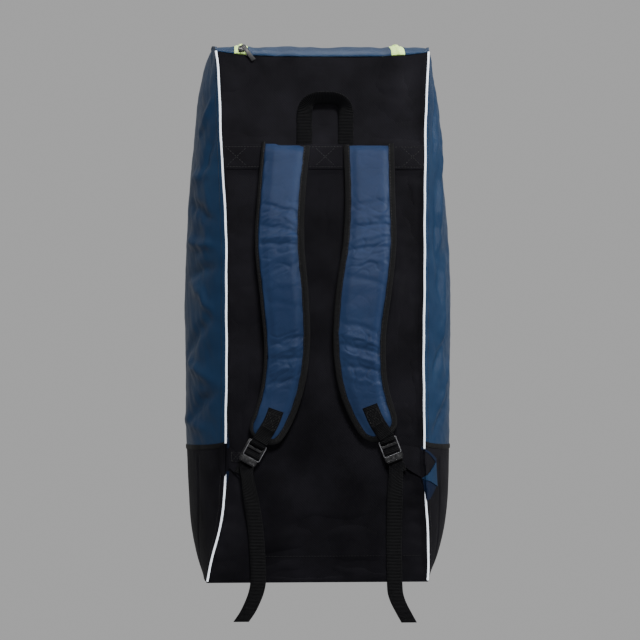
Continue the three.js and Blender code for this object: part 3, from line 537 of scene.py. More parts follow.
def linked(name: str, data: bpy.types.ID) -> bpy.types.Object:
    """A new object in the scene."""
    made = bpy.data.objects.new(name, data)
    bpy.context.scene.collection.objects.link(made)
    return made


class Coordinates(Enum):
    """Where a pattern takes its place from: the piece's own UV in millimetres, or object metres."""

    CLOTH = "UV"
    OBJECT = "Object"


class Weave(Enum):
    """How the threads cross."""

    PLAIN = "plain"
    RIBBED = "ribbed"


@dataclass(frozen=True)
class Finish:
    """What both kinds of finish share: a name, a slot, the clean colour and the worn one."""

    name: str
    slot: str
    colour: str
    worn: str

    def tone(self, material: bpy.types.Material, share: bpy.types.NodeSocket) -> bpy.types.NodeSocket:
        """The colour between the clean one and the worn one."""
        mix = add_node(material, "ShaderNodeMix", {"data_type": "RGBA"}, {0: share})
        mix.inputs[6].default_value, mix.inputs[7].default_value = linear(self.colour), linear(self.worn)
        return mix.outputs[2]


@dataclass(frozen=True)
class WovenFinish(Finish):
    """Woven polyester or polypropylene: a thread pattern in bump and in painted shade between the threads,
    soft dirt and a sheen.
    """

    pitch: float
    weave: Weave = Weave.PLAIN
    roughness: float = 0.6
    relief: float = 0.3
    sheen: float = 0.0
    mottle: float = 0.5
    specular: float = 0.35
    coordinates: Coordinates = Coordinates.CLOTH

    def threads(self, material: bpy.types.Material, place: bpy.types.NodeSocket) -> bpy.types.NodeSocket:
        """The height of the threads: sines of both coordinates, multiplied for a plain weave and
        along the length alone for cross ribs."""
        split = add_node(material, "ShaderNodeSeparateXYZ", links={0: place})
        in_metres = self.coordinates is Coordinates.OBJECT
        rate = 2 * math.pi / self.pitch * (1000 if in_metres else 1)
        length = 2 if in_metres else 1
        waves = []
        for axis in (length,) if self.weave is Weave.RIBBED else (0, length):
            turn = add_node(material, "ShaderNodeMath", {"operation": "MULTIPLY", 1: rate},
                            {0: split.outputs[axis]})
            wave = add_node(material, "ShaderNodeMath", {"operation": "SINE"}, {0: turn.outputs[0]})
            waves.append(wave.outputs[0])
        if len(waves) == 1:
            return waves[0]
        crossed = add_node(material, "ShaderNodeMath", {"operation": "MULTIPLY"}, dict(enumerate(waves)))
        return crossed.outputs[0]

    def material(self) -> bpy.types.Material:
        """Builds the material: base colour between the cloth's own and its worn tone by large noise, darkened
        between the threads as painted shade, and the threads as bump."""
        material, shader = principled(self.name)
        place = add_node(material, "ShaderNodeTexCoord")
        height = self.threads(material, place.outputs[self.coordinates.value])
        vector = {"Vector": place.outputs["Object"]}
        looks = {"Scale": 14.0, "Detail": 5.0, "Roughness": 0.6}, {"Scale": 900.0, "Detail": 2.0}
        broad, fine = (add_node(material, "ShaderNodeTexNoise", look, vector).outputs["Fac"]
                       for look in looks)
        tone = self.tone(material, map_range(material, broad, (0.35, 0.7), (0.0, self.mottle)))
        # Painted shade: the base colour darkens where the threads lie low.
        shade = map_range(material, height, (-1.0, 1.0), (1 - 0.45 * self.relief, 1.0))
        base = add_node(material, "ShaderNodeVectorMath", {"operation": "SCALE"}, {0: tone, "Scale": shade})
        grain = add_node(material, "ShaderNodeMath", {"operation": "MULTIPLY_ADD", 1: 0.6},
                         {0: fine, 2: height})
        bump = add_node(material, "ShaderNodeBump", {"Strength": self.relief, "Distance": 0.0004},
                        {"Height": grain.outputs[0]})
        links = material.node_tree.links
        links.new(base.outputs[0], shader.inputs["Base Color"])
        links.new(bump.outputs[0], shader.inputs["Normal"])
        set_inputs(shader, {"Roughness": self.roughness, "Sheen Weight": self.sheen, "Sheen Roughness": 0.4,
                            "Specular IOR Level": self.specular})
        return material


@dataclass(frozen=True)
class MouldedFinish(Finish):
    """Moulded or extruded plastic: a faint grain in the gloss and in the bump, and on some parts a glow that
    is painted light.
    """

    roughness: float
    grain: float = 0.08
    # Strength of the painted light: emission that brightens the part beyond its lighting.
    painted_glow: float = 0.0

    def material(self) -> bpy.types.Material:
        """Builds the material: fine noise moves the roughness a little and gives a low bump. The glow is
        painted light: emission in the worn colour that makes the part brighter than the lamps light it."""
        material, shader = principled(self.name)
        place = add_node(material, "ShaderNodeTexCoord")
        noise = add_node(material, "ShaderNodeTexNoise", {"Scale": 260.0, "Detail": 4.0},
                         {"Vector": place.outputs["Object"]}).outputs["Fac"]
        gloss = map_range(material, noise, (0.3, 0.7), (self.roughness - 0.08, self.roughness + 0.1))
        bump = add_node(material, "ShaderNodeBump", {"Strength": self.grain, "Distance": 0.0003},
                        {"Height": noise})
        sources = {"Base Color": self.tone(material, noise), "Roughness": gloss, "Normal": bump.outputs[0]}
        for name, source in sources.items():
            material.node_tree.links.new(source, shader.inputs[name])
        # Painted light: the part glows in its worn colour.
        set_inputs(shader, {"Emission Color": linear(self.worn), "Emission Strength": self.painted_glow})
        return material


# 600 denier polyester threads are about 0.5 mm apart, too fine for the render, so they are drawn at
# 2 mm: the eye gets a faint matte texture on the blue cloth.
BLUE = WovenFinish("blue_polyester", "blue_cloth", "162a43", "1f3752", 2.0, roughness=0.38, specular=0.06)
BLUE_PAD = WovenFinish("blue_polyester_pad", "blue_cloth", "1b2b48", "243756", 2.0, roughness=0.42,
                       specular=0.12, coordinates=Coordinates.OBJECT)
# Blue cloth darkened as painted shade on the gusset's own fold: a shaded copy of the blue cloth.
BLUE_PAINTED_SHADE = WovenFinish("blue_polyester_painted_shade", "blue_cloth", "0c1527", "121f38", 2.0, roughness=0.5,
                         specular=0.06)
# The black cloth is the same weave with a matte coat, so only folds catch the light.
BLACK = WovenFinish("black_polyester", "black_cloth", "0b0a0e", "18171c", 2.4, relief=0.4, mottle=0.9,
                    specular=0.05)
# Polypropylene webbing: cross ribs 2.2 mm apart.
WEBBING = WovenFinish("black_webbing", "webbing", "050507", "0c0c0f", 2.2, Weave.RIBBED, roughness=0.55,
                      relief=0.7, mottle=0.4, specular=0.08)
# Grosgrain binding: fine cross ribs, slightly greyer than the webbing.
BINDING = WovenFinish("grosgrain_binding", "binding", "0c0c0d", "18181a", 1.8, Weave.RIBBED, relief=0.6,
                      specular=0.1)
# Lime zip tape, a fine smooth weave, and its coil, which has a faint glow of painted light.
LIME = WovenFinish("lime_zip_tape", "zip_tape", "d2fa88", "e2ffac", 1.6, relief=0.35, sheen=0.1, mottle=0.4)
LIME_COIL = MouldedFinish("lime_nylon_coil", "zip_tape", "cdea80", "dcf6a0", roughness=0.4, painted_glow=0.1)
THREAD = WovenFinish("black_thread", "webbing", "0a0a0c", "131316", 0.8, roughness=0.5, relief=0.2, sheen=0.1,
                     mottle=0.3)
# Vinyl-covered piping cord, extruded and satin, with a glow of painted light that makes it brighter.
PIPING = MouldedFinish("white_vinyl_piping", "piping", "e4edfc", "f4f8ff", roughness=0.42, painted_glow=0.5)
# Painted zinc slider and its pull.
ZINC = MouldedFinish("black_painted_zinc", "plastic", "0a0a0b", "161618", roughness=0.5, grain=0.3)
# Acetal buckles, moulded with a fine spark-eroded grain, and their raised rim bead, whose light grey is a
# painted highlight along the frame's edge.
ACETAL = MouldedFinish("black_acetal", "plastic", "08080a", "101013", roughness=0.3)
ACETAL_RIM_HIGHLIGHT = MouldedFinish("painted_highlight_acetal_rim", "plastic", "58585b", "6e6e72", roughness=0.3)


class Workshop:
    """Turns shells into pieces of the scene and keeps one material for each finish."""

    SHARP, BEVELLED, FLAT = (math.radians(degrees) for degrees in (50, 35, 3))

    def __init__(self) -> None:
        """Starts with no materials."""
        self.materials: dict = {}

    def finish_of(self, finish: Finish) -> bpy.types.Material:
        """The finish's material, built once."""
        if finish.name not in self.materials:
            self.materials[finish.name] = finish.material()
        return self.materials[finish.name]

    def dress(self, piece: bpy.types.Object, finish: Finish, *nodes: str) -> bpy.types.Object:
        """Gives a piece its material, its ride and the nodes that it stands for."""
        piece.data.materials.clear()
        piece.data.materials.append(self.finish_of(finish))
        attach(piece, "root")
        if nodes:
            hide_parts(*nodes)
        log.info("%s: %d faces", piece.name, len(piece.data.polygons))
        return piece

    def piece(self, name: str, shell: Shell, finish: Finish, *nodes: str) -> bpy.types.Object:
        """Makes a piece from a shell in bag millimetres; nodes are the CAD nodes that it replaces."""
        mesh = bpy.data.meshes.new(name)
        mesh.from_pydata(FORM.place(shell.vertices).tolist(), [], shell.faces)
        loops = np.zeros(len(mesh.loops), int)
        mesh.loops.foreach_get("vertex_index", loops)
        mesh.uv_layers.new(name="cloth").data.foreach_set("uv", shell.uv[loops].ravel())
        mesh.shade_smooth()
        mesh.set_sharp_from_angle(angle=self.SHARP)
        mesh.update()
        return self.dress(linked(name, mesh), finish, *nodes)

    def rounded_copy(self, node: str, width: float, finish: Finish) -> None:
        """Replaces a moulded CAD node by a copy with merged doubles and edges bevelled by a width."""
        made = linked(f"moulded_{node}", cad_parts[node].data.copy())
        work = bmesh.new()
        work.from_mesh(made.data)
        bmesh.ops.remove_doubles(work, verts=work.verts, dist=2e-5)
        bmesh.ops.dissolve_limit(work, angle_limit=self.FLAT, verts=work.verts, edges=work.edges)
        work.to_mesh(made.data)
        work.free()
        bevel = made.modifiers.new("rounded edges", "BEVEL")
        bevel.width, bevel.segments, bevel.limit_method = width * MM, 2, "ANGLE"
        bevel.angle_limit = self.BEVELLED
        made.data.shade_smooth()
        self.dress(made, finish, node)


@dataclass
class Body:
    """The stuffed cloth body: back, sides, front, lid, base, piping, seam tapes and the lid's zip.
    Every table of folds has the rows of folded."""

    shop: Workshop
    zip_width: float = 20.0
    zip_span: float = 236.0
    zip_shift: float = -3.0
    zip_corner: float = 70.0
    zip_crown: float = 3.0
    crown_fade: float = 200.0
    flap_drop: float = 480.0
    tape_width: float = 7.0
    piping_diameter: float = 3.0
    end_gap: float = 2.4
    hem_height: float = 40.0

    # Creases of the back panel, placed as the photograph shows them: u is x and v is z.
    BACK_FOLDS = [
        (-118, 300, 80, 150, 7, -2.2), (126, 330, 96, 160, 6, -2.0), (0, 560, 88, 60, 9, -1.6),
        (-128, 560, 70, 60, 6, -2.2), (132, 560, 105, 70, 6, -2.2), (10, 90, 4, 120, 9, -2.0),
        (-60, 40, 12, 80, 8, -2.6), (60, 26, -6, 70, 7, -2.4), (-20, 14, 0, 90, 5, -2.6),
        (-80, 740, 14, 60, 7, -1.8), (90, 735, -12, 60, 7, -1.8), (0, 770, 2, 90, 5, -1.4)]
    # Creases of each side panel: u is y and v is z. The first ones lie beside the piping, where the
    # photograph shows them, and the last five are the same on both sides.
    FAR_FOLDS = [(60, 690, 20, 90, 12, -3), (50, 450, 75, 150, 14, -4), (60, 330, 130, 90, 12, -3.5),
                 (80, 250, 95, 110, 12, -4), (60, 600, 50, 120, 14, -4)]
    SIDE_FOLDS = {
        -1: [(-112, 706, -38, 80, 8, 4.6), (-128, 660, -55, 90, 8, -5), (-80, 612, -12, 70, 10, 5),
             (-95, 560, 20, 80, 10, -5.5), (-90, 512, 4, 90, 8, 5.6), (-100, 470, -6, 80, 9, -5),
             (-110, 425, 35, 90, 9, 4.8), (-85, 372, -32, 100, 11, -5.5), (-90, 318, 18, 80, 9, 5),
             (-105, 272, -30, 80, 9, -5), (-70, 235, 12, 80, 9, 4), *FAR_FOLDS],
        1: [(-112, 690, 72, 120, 9, -4.4), (-98, 600, 78, 150, 10, 4.8), (-118, 500, 96, 130, 9, -4.4),
            (-100, 400, 84, 140, 10, 4.8), (-122, 330, 58, 90, 8, -4.4), (-96, 290, 52, 80, 8, 4.4),
            (-112, 240, 40, 70, 8, -4), *FAR_FOLDS],
    }
    # y of the upright seam in each side's black cloth, and how far each side is drawn in at the top.
    LOWER_SEAM = {-1: -87.0, 1: -111.0}
    DRAW_IN = {-1: 3.6, 1: 3.6 * 0.6}

    def back_panel(self) -> None:
        """Black panel that carries the harness. Its relief only goes inwards, so what lies on it stays
        clear: soft waves, creases and a roll of the cloth into both piped seams."""
        rows = np.linspace(0, 1 - FORM.gap / FORM.panel_height, 200)[:, None]
        left, right = FORM.seam(-1, rows), FORM.seam(1, rows)
        reach = 1 - 2 * FORM.pipe_inset / (right - left)
        across = reach * np.sin(np.pi * (np.linspace(0, 1, 90)[None] - 0.5))
        x = left + (right - left) * (across + 1) / 2
        grid = FORM.on_back(x, rows * FORM.panel_height)
        grid[..., 2] = rows * FORM.top_edge(across)
        u, v = grid[..., 0], grid[..., 2]
        edge = np.abs(FORM.across(x, rows * np.ones_like(x)))
        broad_height = 1.1 + 1.6 * ramp(v, 640, 700)
        relief = (broad_height * (crumple(u, v, size=120, seed=3) - 1)
                  + 0.5 * (crumple(u, v, size=34, seed=4) - 1) * ramp(edge, 0.5, 1))
        relief += folded(self.BACK_FOLDS, u, v)
        relief += 0.8 * np.sin(v / 5.5) * ramp(edge, 0.93, 1.0) - 1.2 * ramp(edge, 0.96, 1.0)
        under_band = ramp(v, 610, 622) * ramp(v, 670, 658)
        relief = np.minimum(relief * (1 - 0.85 * under_band), 0)
        self.shop.piece("back_cloth", skin(grid, relief, -FORM.cloth), BLACK, "back_panel")
        hem = np.linspace(-0.55, 0.93, 160)
        height = np.full_like(hem, self.hem_height / FORM.panel_height)
        x = FORM.seam(-1, height) * (1 - hem) / 2 + FORM.seam(1, height) * (1 + hem) / 2
        line = FORM.on_back(x, self.hem_height, 0.4)
        self.shop.piece("back_hem_stitches", stitches(line, np.tile([0, -1, 0], (len(line), 1))), THREAD)

    def side_grid(self, side: int, low: Array, high: Array, shape: tuple) -> Array:
        """Points of a side panel between two height shares that may change with the turn.

        Args:
            side: -1 or 1.
            low: function of turn that gives the lower height share.
            high: the same for the upper one.
            shape: rows and columns.

        Returns:
            The grid.
        """
        v, u = np.linspace(0, 1, shape[0])[:, None], np.linspace(0, 1, shape[1])[None]
        start = FORM.turn_from_seam(side, low(0.0) + (high(0.0) - low(0.0)) * v, FORM.pipe_inset)
        turn = start + (1 - start) * u
        return FORM.side_point(side, low(turn) + (high(turn) - low(turn)) * v, turn)

    def side_relief(self, side: int, grid: Array) -> Array:
        """Wrinkles of a stuffed side: broad soft waves, the creases of SIDE_FOLDS and small puckers at
        the seam. The black cloth at the bottom is nearly smooth."""
        y, z = grid[..., 1], grid[..., 2]
        share = np.clip((y + FORM.bag_depth / 2) / FORM.bag_depth, 0, 1)
        hold = ramp(share, 0.0, 0.14) * ramp(share, 1.0, 0.86)
        relief = 1.6 * crumple(y, z * 0.7, size=190, seed=8 + side)
        small = 1.1 * crumple(y * 0.8, z, size=58, seed=12 + side)
        small += 0.5 * crumple(y, z, size=24, seed=15 + side)
        relief += small * (0.4 + 0.6 * ramp(share, 0.5, 0.2))
        relief += folded(self.SIDE_FOLDS[side], y, z)
        relief = relief * (0.22 + 0.78 * ramp(z, 172, 240)) + 1.0
        relief -= 1.8 * np.exp(-(((y - self.LOWER_SEAM[side]) / 2.4) ** 2)) * ramp(z, 192, 180)
        pucker = 0.5 * np.sin(z / 6.3 + side) * ramp(share, 0.1, 0.0)
        return relief * hold * 1.15 + pucker - self.DRAW_IN[side] * ramp(z, 690, 770) * hold

    def sides(self) -> None:
        """Blue and black side panels with the binding tape over the line between them."""
        margin, half = FORM.gap / 2 / FORM.panel_height, self.tape_width / 2 / FORM.panel_height
        edge = FORM.lower_edge
        for side in SIDES:
            name = side_name(side)
            upper = self.side_grid(side, lambda t: edge(t) + margin, lambda t: 1 + 0 * t, (190, 90))
            lower = self.side_grid(side, lambda t: 0 * t, lambda t: edge(t) - margin, (60, 90))
            for label, grid, finish in (("panel", upper, BLUE), ("lower", lower, BLACK)):
                relief = self.side_relief(side, grid)
                cloth = skin(grid, relief, relief - FORM.cloth)
                self.shop.piece(f"side_{label}_cloth_{name}", cloth, finish, f"side_{label}_{name}")
            tape = self.side_grid(side, lambda t: edge(t) - half, lambda t: edge(t) + half, (7, 120))
            rise = 1.0 - 0.5 * np.abs(np.linspace(-1, 1, 7))[:, None] ** 3
            grid = tape + normals_of(tape) * self.side_relief(side, tape)[..., None]
            self.shop.piece(f"side_binding_{name}", skin(grid, rise + 0.3, 0.2), BINDING, f"side_tape_{name}")
            self.topstitch(side)

    def topstitch(self, side: int) -> None:
        """Stitches 9 mm from the piped seam, on the side panel."""
        height = np.linspace(0.02, 0.985, 500)
        turn = FORM.turn_from_seam(side, height, 9.0)
        line, near = FORM.side_point(side, height, turn), FORM.side_point(side, height, turn * 0.8)
        away = unit((line - near) * [1, 1, 0])
        out = np.stack([side * np.abs(away[:, 1]), -np.abs(away[:, 0]), np.zeros(len(away))], -1)
        line = line + out * (self.side_relief(side, line)[:, None] + 0.1)
        self.shop.piece(f"seam_stitches_{side_name(side)}", stitches(line, out), THREAD)

    def piping(self) -> None:
        """White vinyl piping in both back seams: a round cord with a slight waver."""
        for side in SIDES:
            height = np.linspace(self.end_gap / FORM.panel_height, 1, 260)
            seam = FORM.side_point(side, height, 0.0)
            seam[:, 2] = height * FORM.top_edge(1.0)
            seam[:, 0] += side * 0.35 * np.sin(seam[:, 2] / 31) + 0.2 * np.sin(seam[:, 2] / 11)
            tangent = unit(np.gradient(seam, axis=0))
            wide = unit(np.cross(tangent, [0, 1, 0]))
            radius = self.piping_diameter / 2 * (1 + 0.03 * np.sin(seam[:, 2] / 7))[:, None, None]
            rings = tube(seam, wide, np.cross(wide, tangent)[:, None], radius, 14)
            name = side_name(side)
            self.shop.piece(f"piping_cord_{name}", loft(rings), PIPING, f"piping_{name}")

    def zip_line(self, offset: float) -> tuple:
        """The zip's line in the wrap's coordinates, down one leg, round two corners and up the other.

        Args:
            offset: how far outside the zip's middle the line runs.

        Returns:
            Signed distance from the zip's middle, run, edge run and slide of each station, where the
            last two give the matching place on the front panel's outer edge.
        """
        leg, radius = self.zip_span / 2 + offset, self.zip_corner + offset
        bottom = FORM.top_run + self.flap_drop + offset
        outer = FORM.top_run + FORM.panel_height - FORM.lower_height - FORM.gap / 2
        turn_run = bottom - radius
        run = np.concatenate([self.over_top(), np.linspace(FORM.top_run, turn_run, 70)[1:]])
        share = np.linspace(0, 1, 17)[1:]
        angle = share * math.pi / 2
        out = np.concatenate([np.full_like(run, leg), leg - radius + radius * np.cos(angle), [0]])
        corner = np.where(share <= 0.5, turn_run + (outer - turn_run) * np.minimum(share * 2, 1), outer)
        edge_run = np.concatenate([run, corner, [outer]])
        slide = np.concatenate([np.zeros_like(run), np.maximum(share * 2 - 1, 0), [2]])
        run = np.concatenate([run, turn_run + radius * np.sin(angle), [bottom]])
        back = slice(-2, None, -1)
        others = (np.concatenate([part, part[back]]) for part in (run, edge_run, slide))
        return (np.concatenate([-out, out[back]]), *others)

    def over_top(self) -> Array:
        """Runs over the top, from the end gap at the back panel to the front."""
        return np.concatenate([[self.end_gap], FORM.top_run * np.linspace(0.02, 1, 40)])

    def front_relief(self, grid: Array) -> Array:
        """Inward waves and folds of the top and the front, still at the zip."""
        x, z = grid[..., 0], grid[..., 2] - grid[..., 1] * 0.6
        broad, small = crumple(x, z, size=130, seed=31) - 0.8, crumple(x, z, size=48, seed=32) - 0.6
        return np.minimum(1.6 * broad + 0.9 * small, 0.3)

    def front(self) -> None:
        """Blue front panel round the zip."""
        out, run, edge_run, slide = self.zip_line(self.zip_width / 2 + FORM.gap)
        sign = np.sign(out)
        edge = np.where(sign < 0, FORM.wrap_inside(edge_run, 0), FORM.wrap_inside(edge_run, 1))
        corner = self.zip_shift + sign * (self.zip_span / 2 - self.zip_corner)
        edge_x = np.where(slide > 1, self.zip_shift, edge + (corner - edge) * np.minimum(slide, 1))
        t = np.linspace(0, 1, 22)[:, None]
        grid = FORM.wrap((self.zip_shift + out) * (1 - t) + edge_x * t, run * (1 - t) + edge_run * t)
        relief = self.front_relief(grid) * ramp(t, 0, 0.25) * ramp(1 - t, 0, 0.1)
        self.shop.piece("front_cloth", skin(grid, relief, -FORM.cloth), BLUE, "front_panel")

    def lid(self) -> None:
        """Blue lid flap inside the zip."""
        inset = self.zip_width / 2 + 1.5 * FORM.gap
        half, radius = self.zip_span / 2 - inset, self.zip_corner - inset
        bottom = FORM.top_run + self.flap_drop - inset
        corner = bottom - radius
        runs = np.concatenate([self.over_top(), np.linspace(FORM.top_run, corner, 80)[1:],
                               corner + radius * np.sin(np.linspace(0, math.pi / 2, 16))[1:]])[:, None]
        past = np.maximum(runs - corner, 0)
        reach = half - radius + np.sqrt(np.maximum(radius**2 - past**2, 0))
        u = np.linspace(-1, 1, 60)[None]
        grid = FORM.wrap(self.zip_shift + reach * u, runs + 0 * u)
        relief = self.front_relief(grid) * ramp(1 - np.abs(u), 0, 0.12) * ramp(bottom - runs, 0, 20)
        self.shop.piece("lid_cloth", skin(grid, relief, -FORM.cloth), BLUE, "lid_flap")

    def front_foot(self) -> None:
        """Black lower front, and the binding tape over its upper edge."""
        foot = FORM.top_run + FORM.panel_height
        seam, half = foot - FORM.lower_height, self.tape_width / 2
        for name, first, last, rows, finish in (("front_lower", foot, seam + FORM.gap / 2, 60, BLACK),
                                                ("front_tape", seam + half, seam - half, 6, BINDING)):
            runs, u = np.linspace(first, last, rows)[:, None], np.linspace(0, 1, 80)[None]
            grid = FORM.wrap(FORM.wrap_inside(runs, u), runs + 0 * u)
            high, low = np.full(grid.shape[:2], 1.3), 0.3
            if finish is BLACK:
                high, low = self.front_relief(grid) * ramp(np.minimum(u, 1 - u), 0, 0.06), -FORM.cloth
            self.shop.piece(f"{name}_cloth", skin(grid, high, low), finish, name)

    def lid_zip(self) -> None:
        """Lime tape with two rows of coil down its middle, the slider and its pull."""
        offsets = np.linspace(-self.zip_width / 2, self.zip_width / 2, 11)
        lines = [self.zip_line(float(offset)) for offset in offsets]
        grid = np.stack([FORM.wrap(self.zip_shift + out, run) for out, run, _, _ in lines])
        groove = -0.5 * np.exp(-((np.abs(offsets) - 4.5) / 0.8) ** 2)[:, None]
        crown = self.zip_crown * (1 - (offsets[:, None] / self.zip_width * 2) ** 2)
        crown = crown * ramp(lines[0][1], self.crown_fade, 10)
        self.shop.piece("zip_cloth", skin(grid, groove + crown, -FORM.cloth), LIME, "zip_tape")
        coils = []
        for shift in (-1.1, 1.1):
            path, side = (FORM.wrap(self.zip_shift + out, run)
                          for out, run, _, _ in (self.zip_line(shift), self.zip_line(shift + 1.5)))
            wide = unit(side - path)
            up = np.cross(wide, unit(np.gradient(path, axis=0)))
            away = path - np.array([0, 0, FORM.panel_height / 2])
            up *= np.where((away * up).sum(-1, keepdims=True) < 0, -1, 1)
            at, _, wide, up = evenly(path, 2.2, wide, up)
            lift = 0.5 + self.zip_crown * ramp(at[:, 1] + FORM.bag_depth / 2, self.crown_fade, 10)
            coils.append(beads(at + unit(up) * lift[:, None], unit(wide), unit(up), (1.35, 0.75, 0.8)))
        self.shop.piece("zip_coil", Shell.joined(coils), LIME_COIL)
        self.shop.rounded_copy("zip_slider", 0.8, ZINC)
        self.shop.rounded_copy("zip_pull", 0.6, ZINC)

    def base(self) -> None:
        """Flat black base between the side panels."""
        first = 0.06
        turn, u = np.linspace(first, 1 - first, 60)[:, None], np.linspace(0, 1, 70)[None]
        inset = FORM.butt_inset + 0.5
        left, right = (FORM.side_point(side, 0.0, turn) for side in SIDES)
        x = left[..., 0] + inset + (right[..., 0] - left[..., 0] - 2 * inset) * u
        low, high = -FORM.bag_depth / 2 + inset, -FORM.bag_depth / 2 + float(FORM.depth(0.0)) - inset
        share = (1 - np.cos(np.pi * (turn - first) / (1 - 2 * first))) / 2
        bottom = stacked(x, low + (high - low) * share, 0.0)
        shell = slab(bottom, bottom + [0, 0, FORM.cloth], cloth_uv(bottom))
        self.shop.piece("base_cloth", shell, BLACK, "base_panel")

    def build(self) -> None:
        """Builds every panel and its trim."""
        for step in (self.back_panel, self.sides, self.piping, self.front, self.lid, self.front_foot,
                     self.lid_zip, self.base):
            step()


@dataclass
class Harness:
    """Band, haul loop, padded straps with bindings, tabs, ladder locks, webbing tails and gussets."""

    shop: Workshop
    webbing_width: float = 23.5
    webbing_thickness: float = 1.6
    band_top: float = 658.0
    band_height: float = 37.0
    strap_offset: float = 62.0
    strap_width: float = 74.0
    strap_drop: float = 441.0
    strap_lift: float = 22.0
    strap_thickness: float = 12.0
    strap_edge: float = 4.0
    strap_end_radius: float = 16.0
    binding_width: float = 9.0
    buckle_length: float = 34.0
    tail_length: float = 262.0
    bar_thickness: float = 3.6
    voxel: float = 0.0032
    swell_limit: float = 0.0014
    pressure: float = 3.0
    cloth_frames: int = 14

    # Drop, shift, width, lift and roll of each strap, as shares of the strap's sizes and in degrees.
    STRAPS = {
        -1: np.array([[0, 0.91, 1, 0, 0], [0.187, 1.03, 0.99, 0.5, 6], [0.34, 1.07, 1.03, 0.9, 13],
                      [0.525, 0.955, 1.02, 1, 15], [0.69, 0.895, 0.95, 0.8, 11], [0.822, 1, 0.88, 0.5, 5],
                      [0.93, 1.24, 0.81, 0.3, 0], [1, 1.52, 0.72, 0.25, 0]]),
        1: np.array([[0, 1.125, 1, 0, 0], [0.187, 1.149, 0.99, 0.5, 0], [0.34, 1.125, 1.05, 0.9, 0],
                     [0.48, 1, 1.09, 1, 0], [0.63, 0.89, 1.05, 0.85, 0], [0.73, 0.9, 1.02, 0.7, 0],
                     [0.83, 1.005, 0.96, 0.5, 0], [0.93, 1.27, 0.86, 0.3, 0], [0.988, 1.53, 0.72, 0.25, 0]]),
    }
    # Millimetres that half of each strap is narrower than its CAD solid, all of it off the outer edge.
    OUTER_TRIM = {-1: 2.2, 1: 0.4}
    # Share of the binding's width that shows on the left and the right edge of each strap.
    LIPS = {-1: (0.5, 0.95), 1: (0.9, 0.85)}
    # Creases across the straps: u is the distance from the middle line and v the height.
    CREASES = {
        -1: [(0, 562, -14, 64, 2.8, -1.5), (2, 546, -8, 70, 4.4, 1.2), (0, 532, -10, 66, 3.6, -1.6),
             (-2, 519, 2, 74, 3.4, 1.5), (-4, 509, 0, 70, 3.2, -2.0), (4, 490, 16, 60, 4.6, 1.0),
             (2, 474, 20, 56, 4.4, -1.1), (-4, 449, 12, 50, 5, 0.8), (0, 420, -8, 50, 6, -0.8),
             (0, 366, 12, 60, 4.4, -1.4), (2, 352, 16, 66, 4, 1.3), (0, 338, 10, 62, 4, -1.6),
             (-3, 322, 14, 58, 4.4, 1.0), (0, 304, 8, 50, 4, -1.1)],
        1: [(0, 570, 8, 60, 4, -1.2), (0, 550, 12, 66, 4.4, 1.1), (-2, 536, 6, 70, 3.6, -1.6),
            (2, 520, 14, 66, 4, 1.3), (0, 503, 4, 66, 3.6, -1.6), (-3, 486, -6, 60, 4.6, 1.0),
            (0, 455, -12, 56, 5, -1.0), (0, 385, -14, 56, 5, -1.1), (-2, 368, -16, 64, 4, 1.2),
            (0, 354, -12, 66, 3.8, -1.7), (2, 340, -18, 62, 4, 1.3), (0, 324, -8, 56, 4, -1.3),
            (0, 306, -14, 50, 4.4, 0.8)],
    }
    # Drop as a share of the tail's length and sway as a share of the webbing's width.
    TAILS = {
        -1: np.array([[0.12, -0.42], [0.214, -0.24], [0.402, 0.08], [0.546, 0.23], [0.688, 0.3],
                      [0.762, 0.28], [0.824, 0.1], [0.911, -0.34], [0.971, -0.79]]),
        1: np.array([[0.12, 0.33], [0.214, 0.28], [0.557, 0.25], [0.773, 0.3], [0.836, 0.36],
                     [0.888, 0.56], [0.94, 0.86], [1, 1.23]]),
    }
    TILT = {-1: 29.0, 1: 21.0}
    # The webbing's way through a ladder lock: share of its length down it, share of the clear height out.
    THREAD_WAY = np.array([[0.62, -1.73], [0.235, -1.73], [0.035, -1.56], [-0.029, -1.02], [-0.056, -0.17],
                           [-0.038, 0.68], [0.024, 1.034], [0.138, 1.034], [0.194, 0.644], [0.218, -0.136],
                           [0.256, -0.95], [0.324, -1.05], [0.62, -1.05]])
    TAB_FOLD = np.array([[-0.1, 1.12], [0.95, 1.08], [1.55, 0.6], [1.68, 0], [1.55, -0.6], [0.95, -1.08],
                         [-0.35, -1.05]])
    # Reach, lower edge, upper edge and lift of each gusset, from the side panel to the tongue's end.
    GUSSETS = {
        -1: np.array([[0.62, 0.16, 0.5, 0], [0.35, 0.02, 0.57, 0], [0.17, -0.02, 0.58, 0], [0, -0.02, 0.6, 0],
                      [-0.4, 0.13, 0.52, 0.1], [-1.3, -0.05, 0.4, 0.7], [-1.9, -0.18, 0.27, 0.9],
                      [-2.3, -0.1, 0.15, 1]]),
        1: np.array([[1.85, -0.27, 0.24, 0.3], [1.1, -0.36, 0.34, 0.2], [0.35, -0.44, 0.44, 0],
                     [0.17, -0.48, 0.47, 0], [0, -0.49, 0.5, 0], [-0.4, -0.06, 0.5, 0.1],
                     [-1.3, 0.05, 0.53, 0.7], [-2.3, 0.2, 0.56, 1]]),
    }

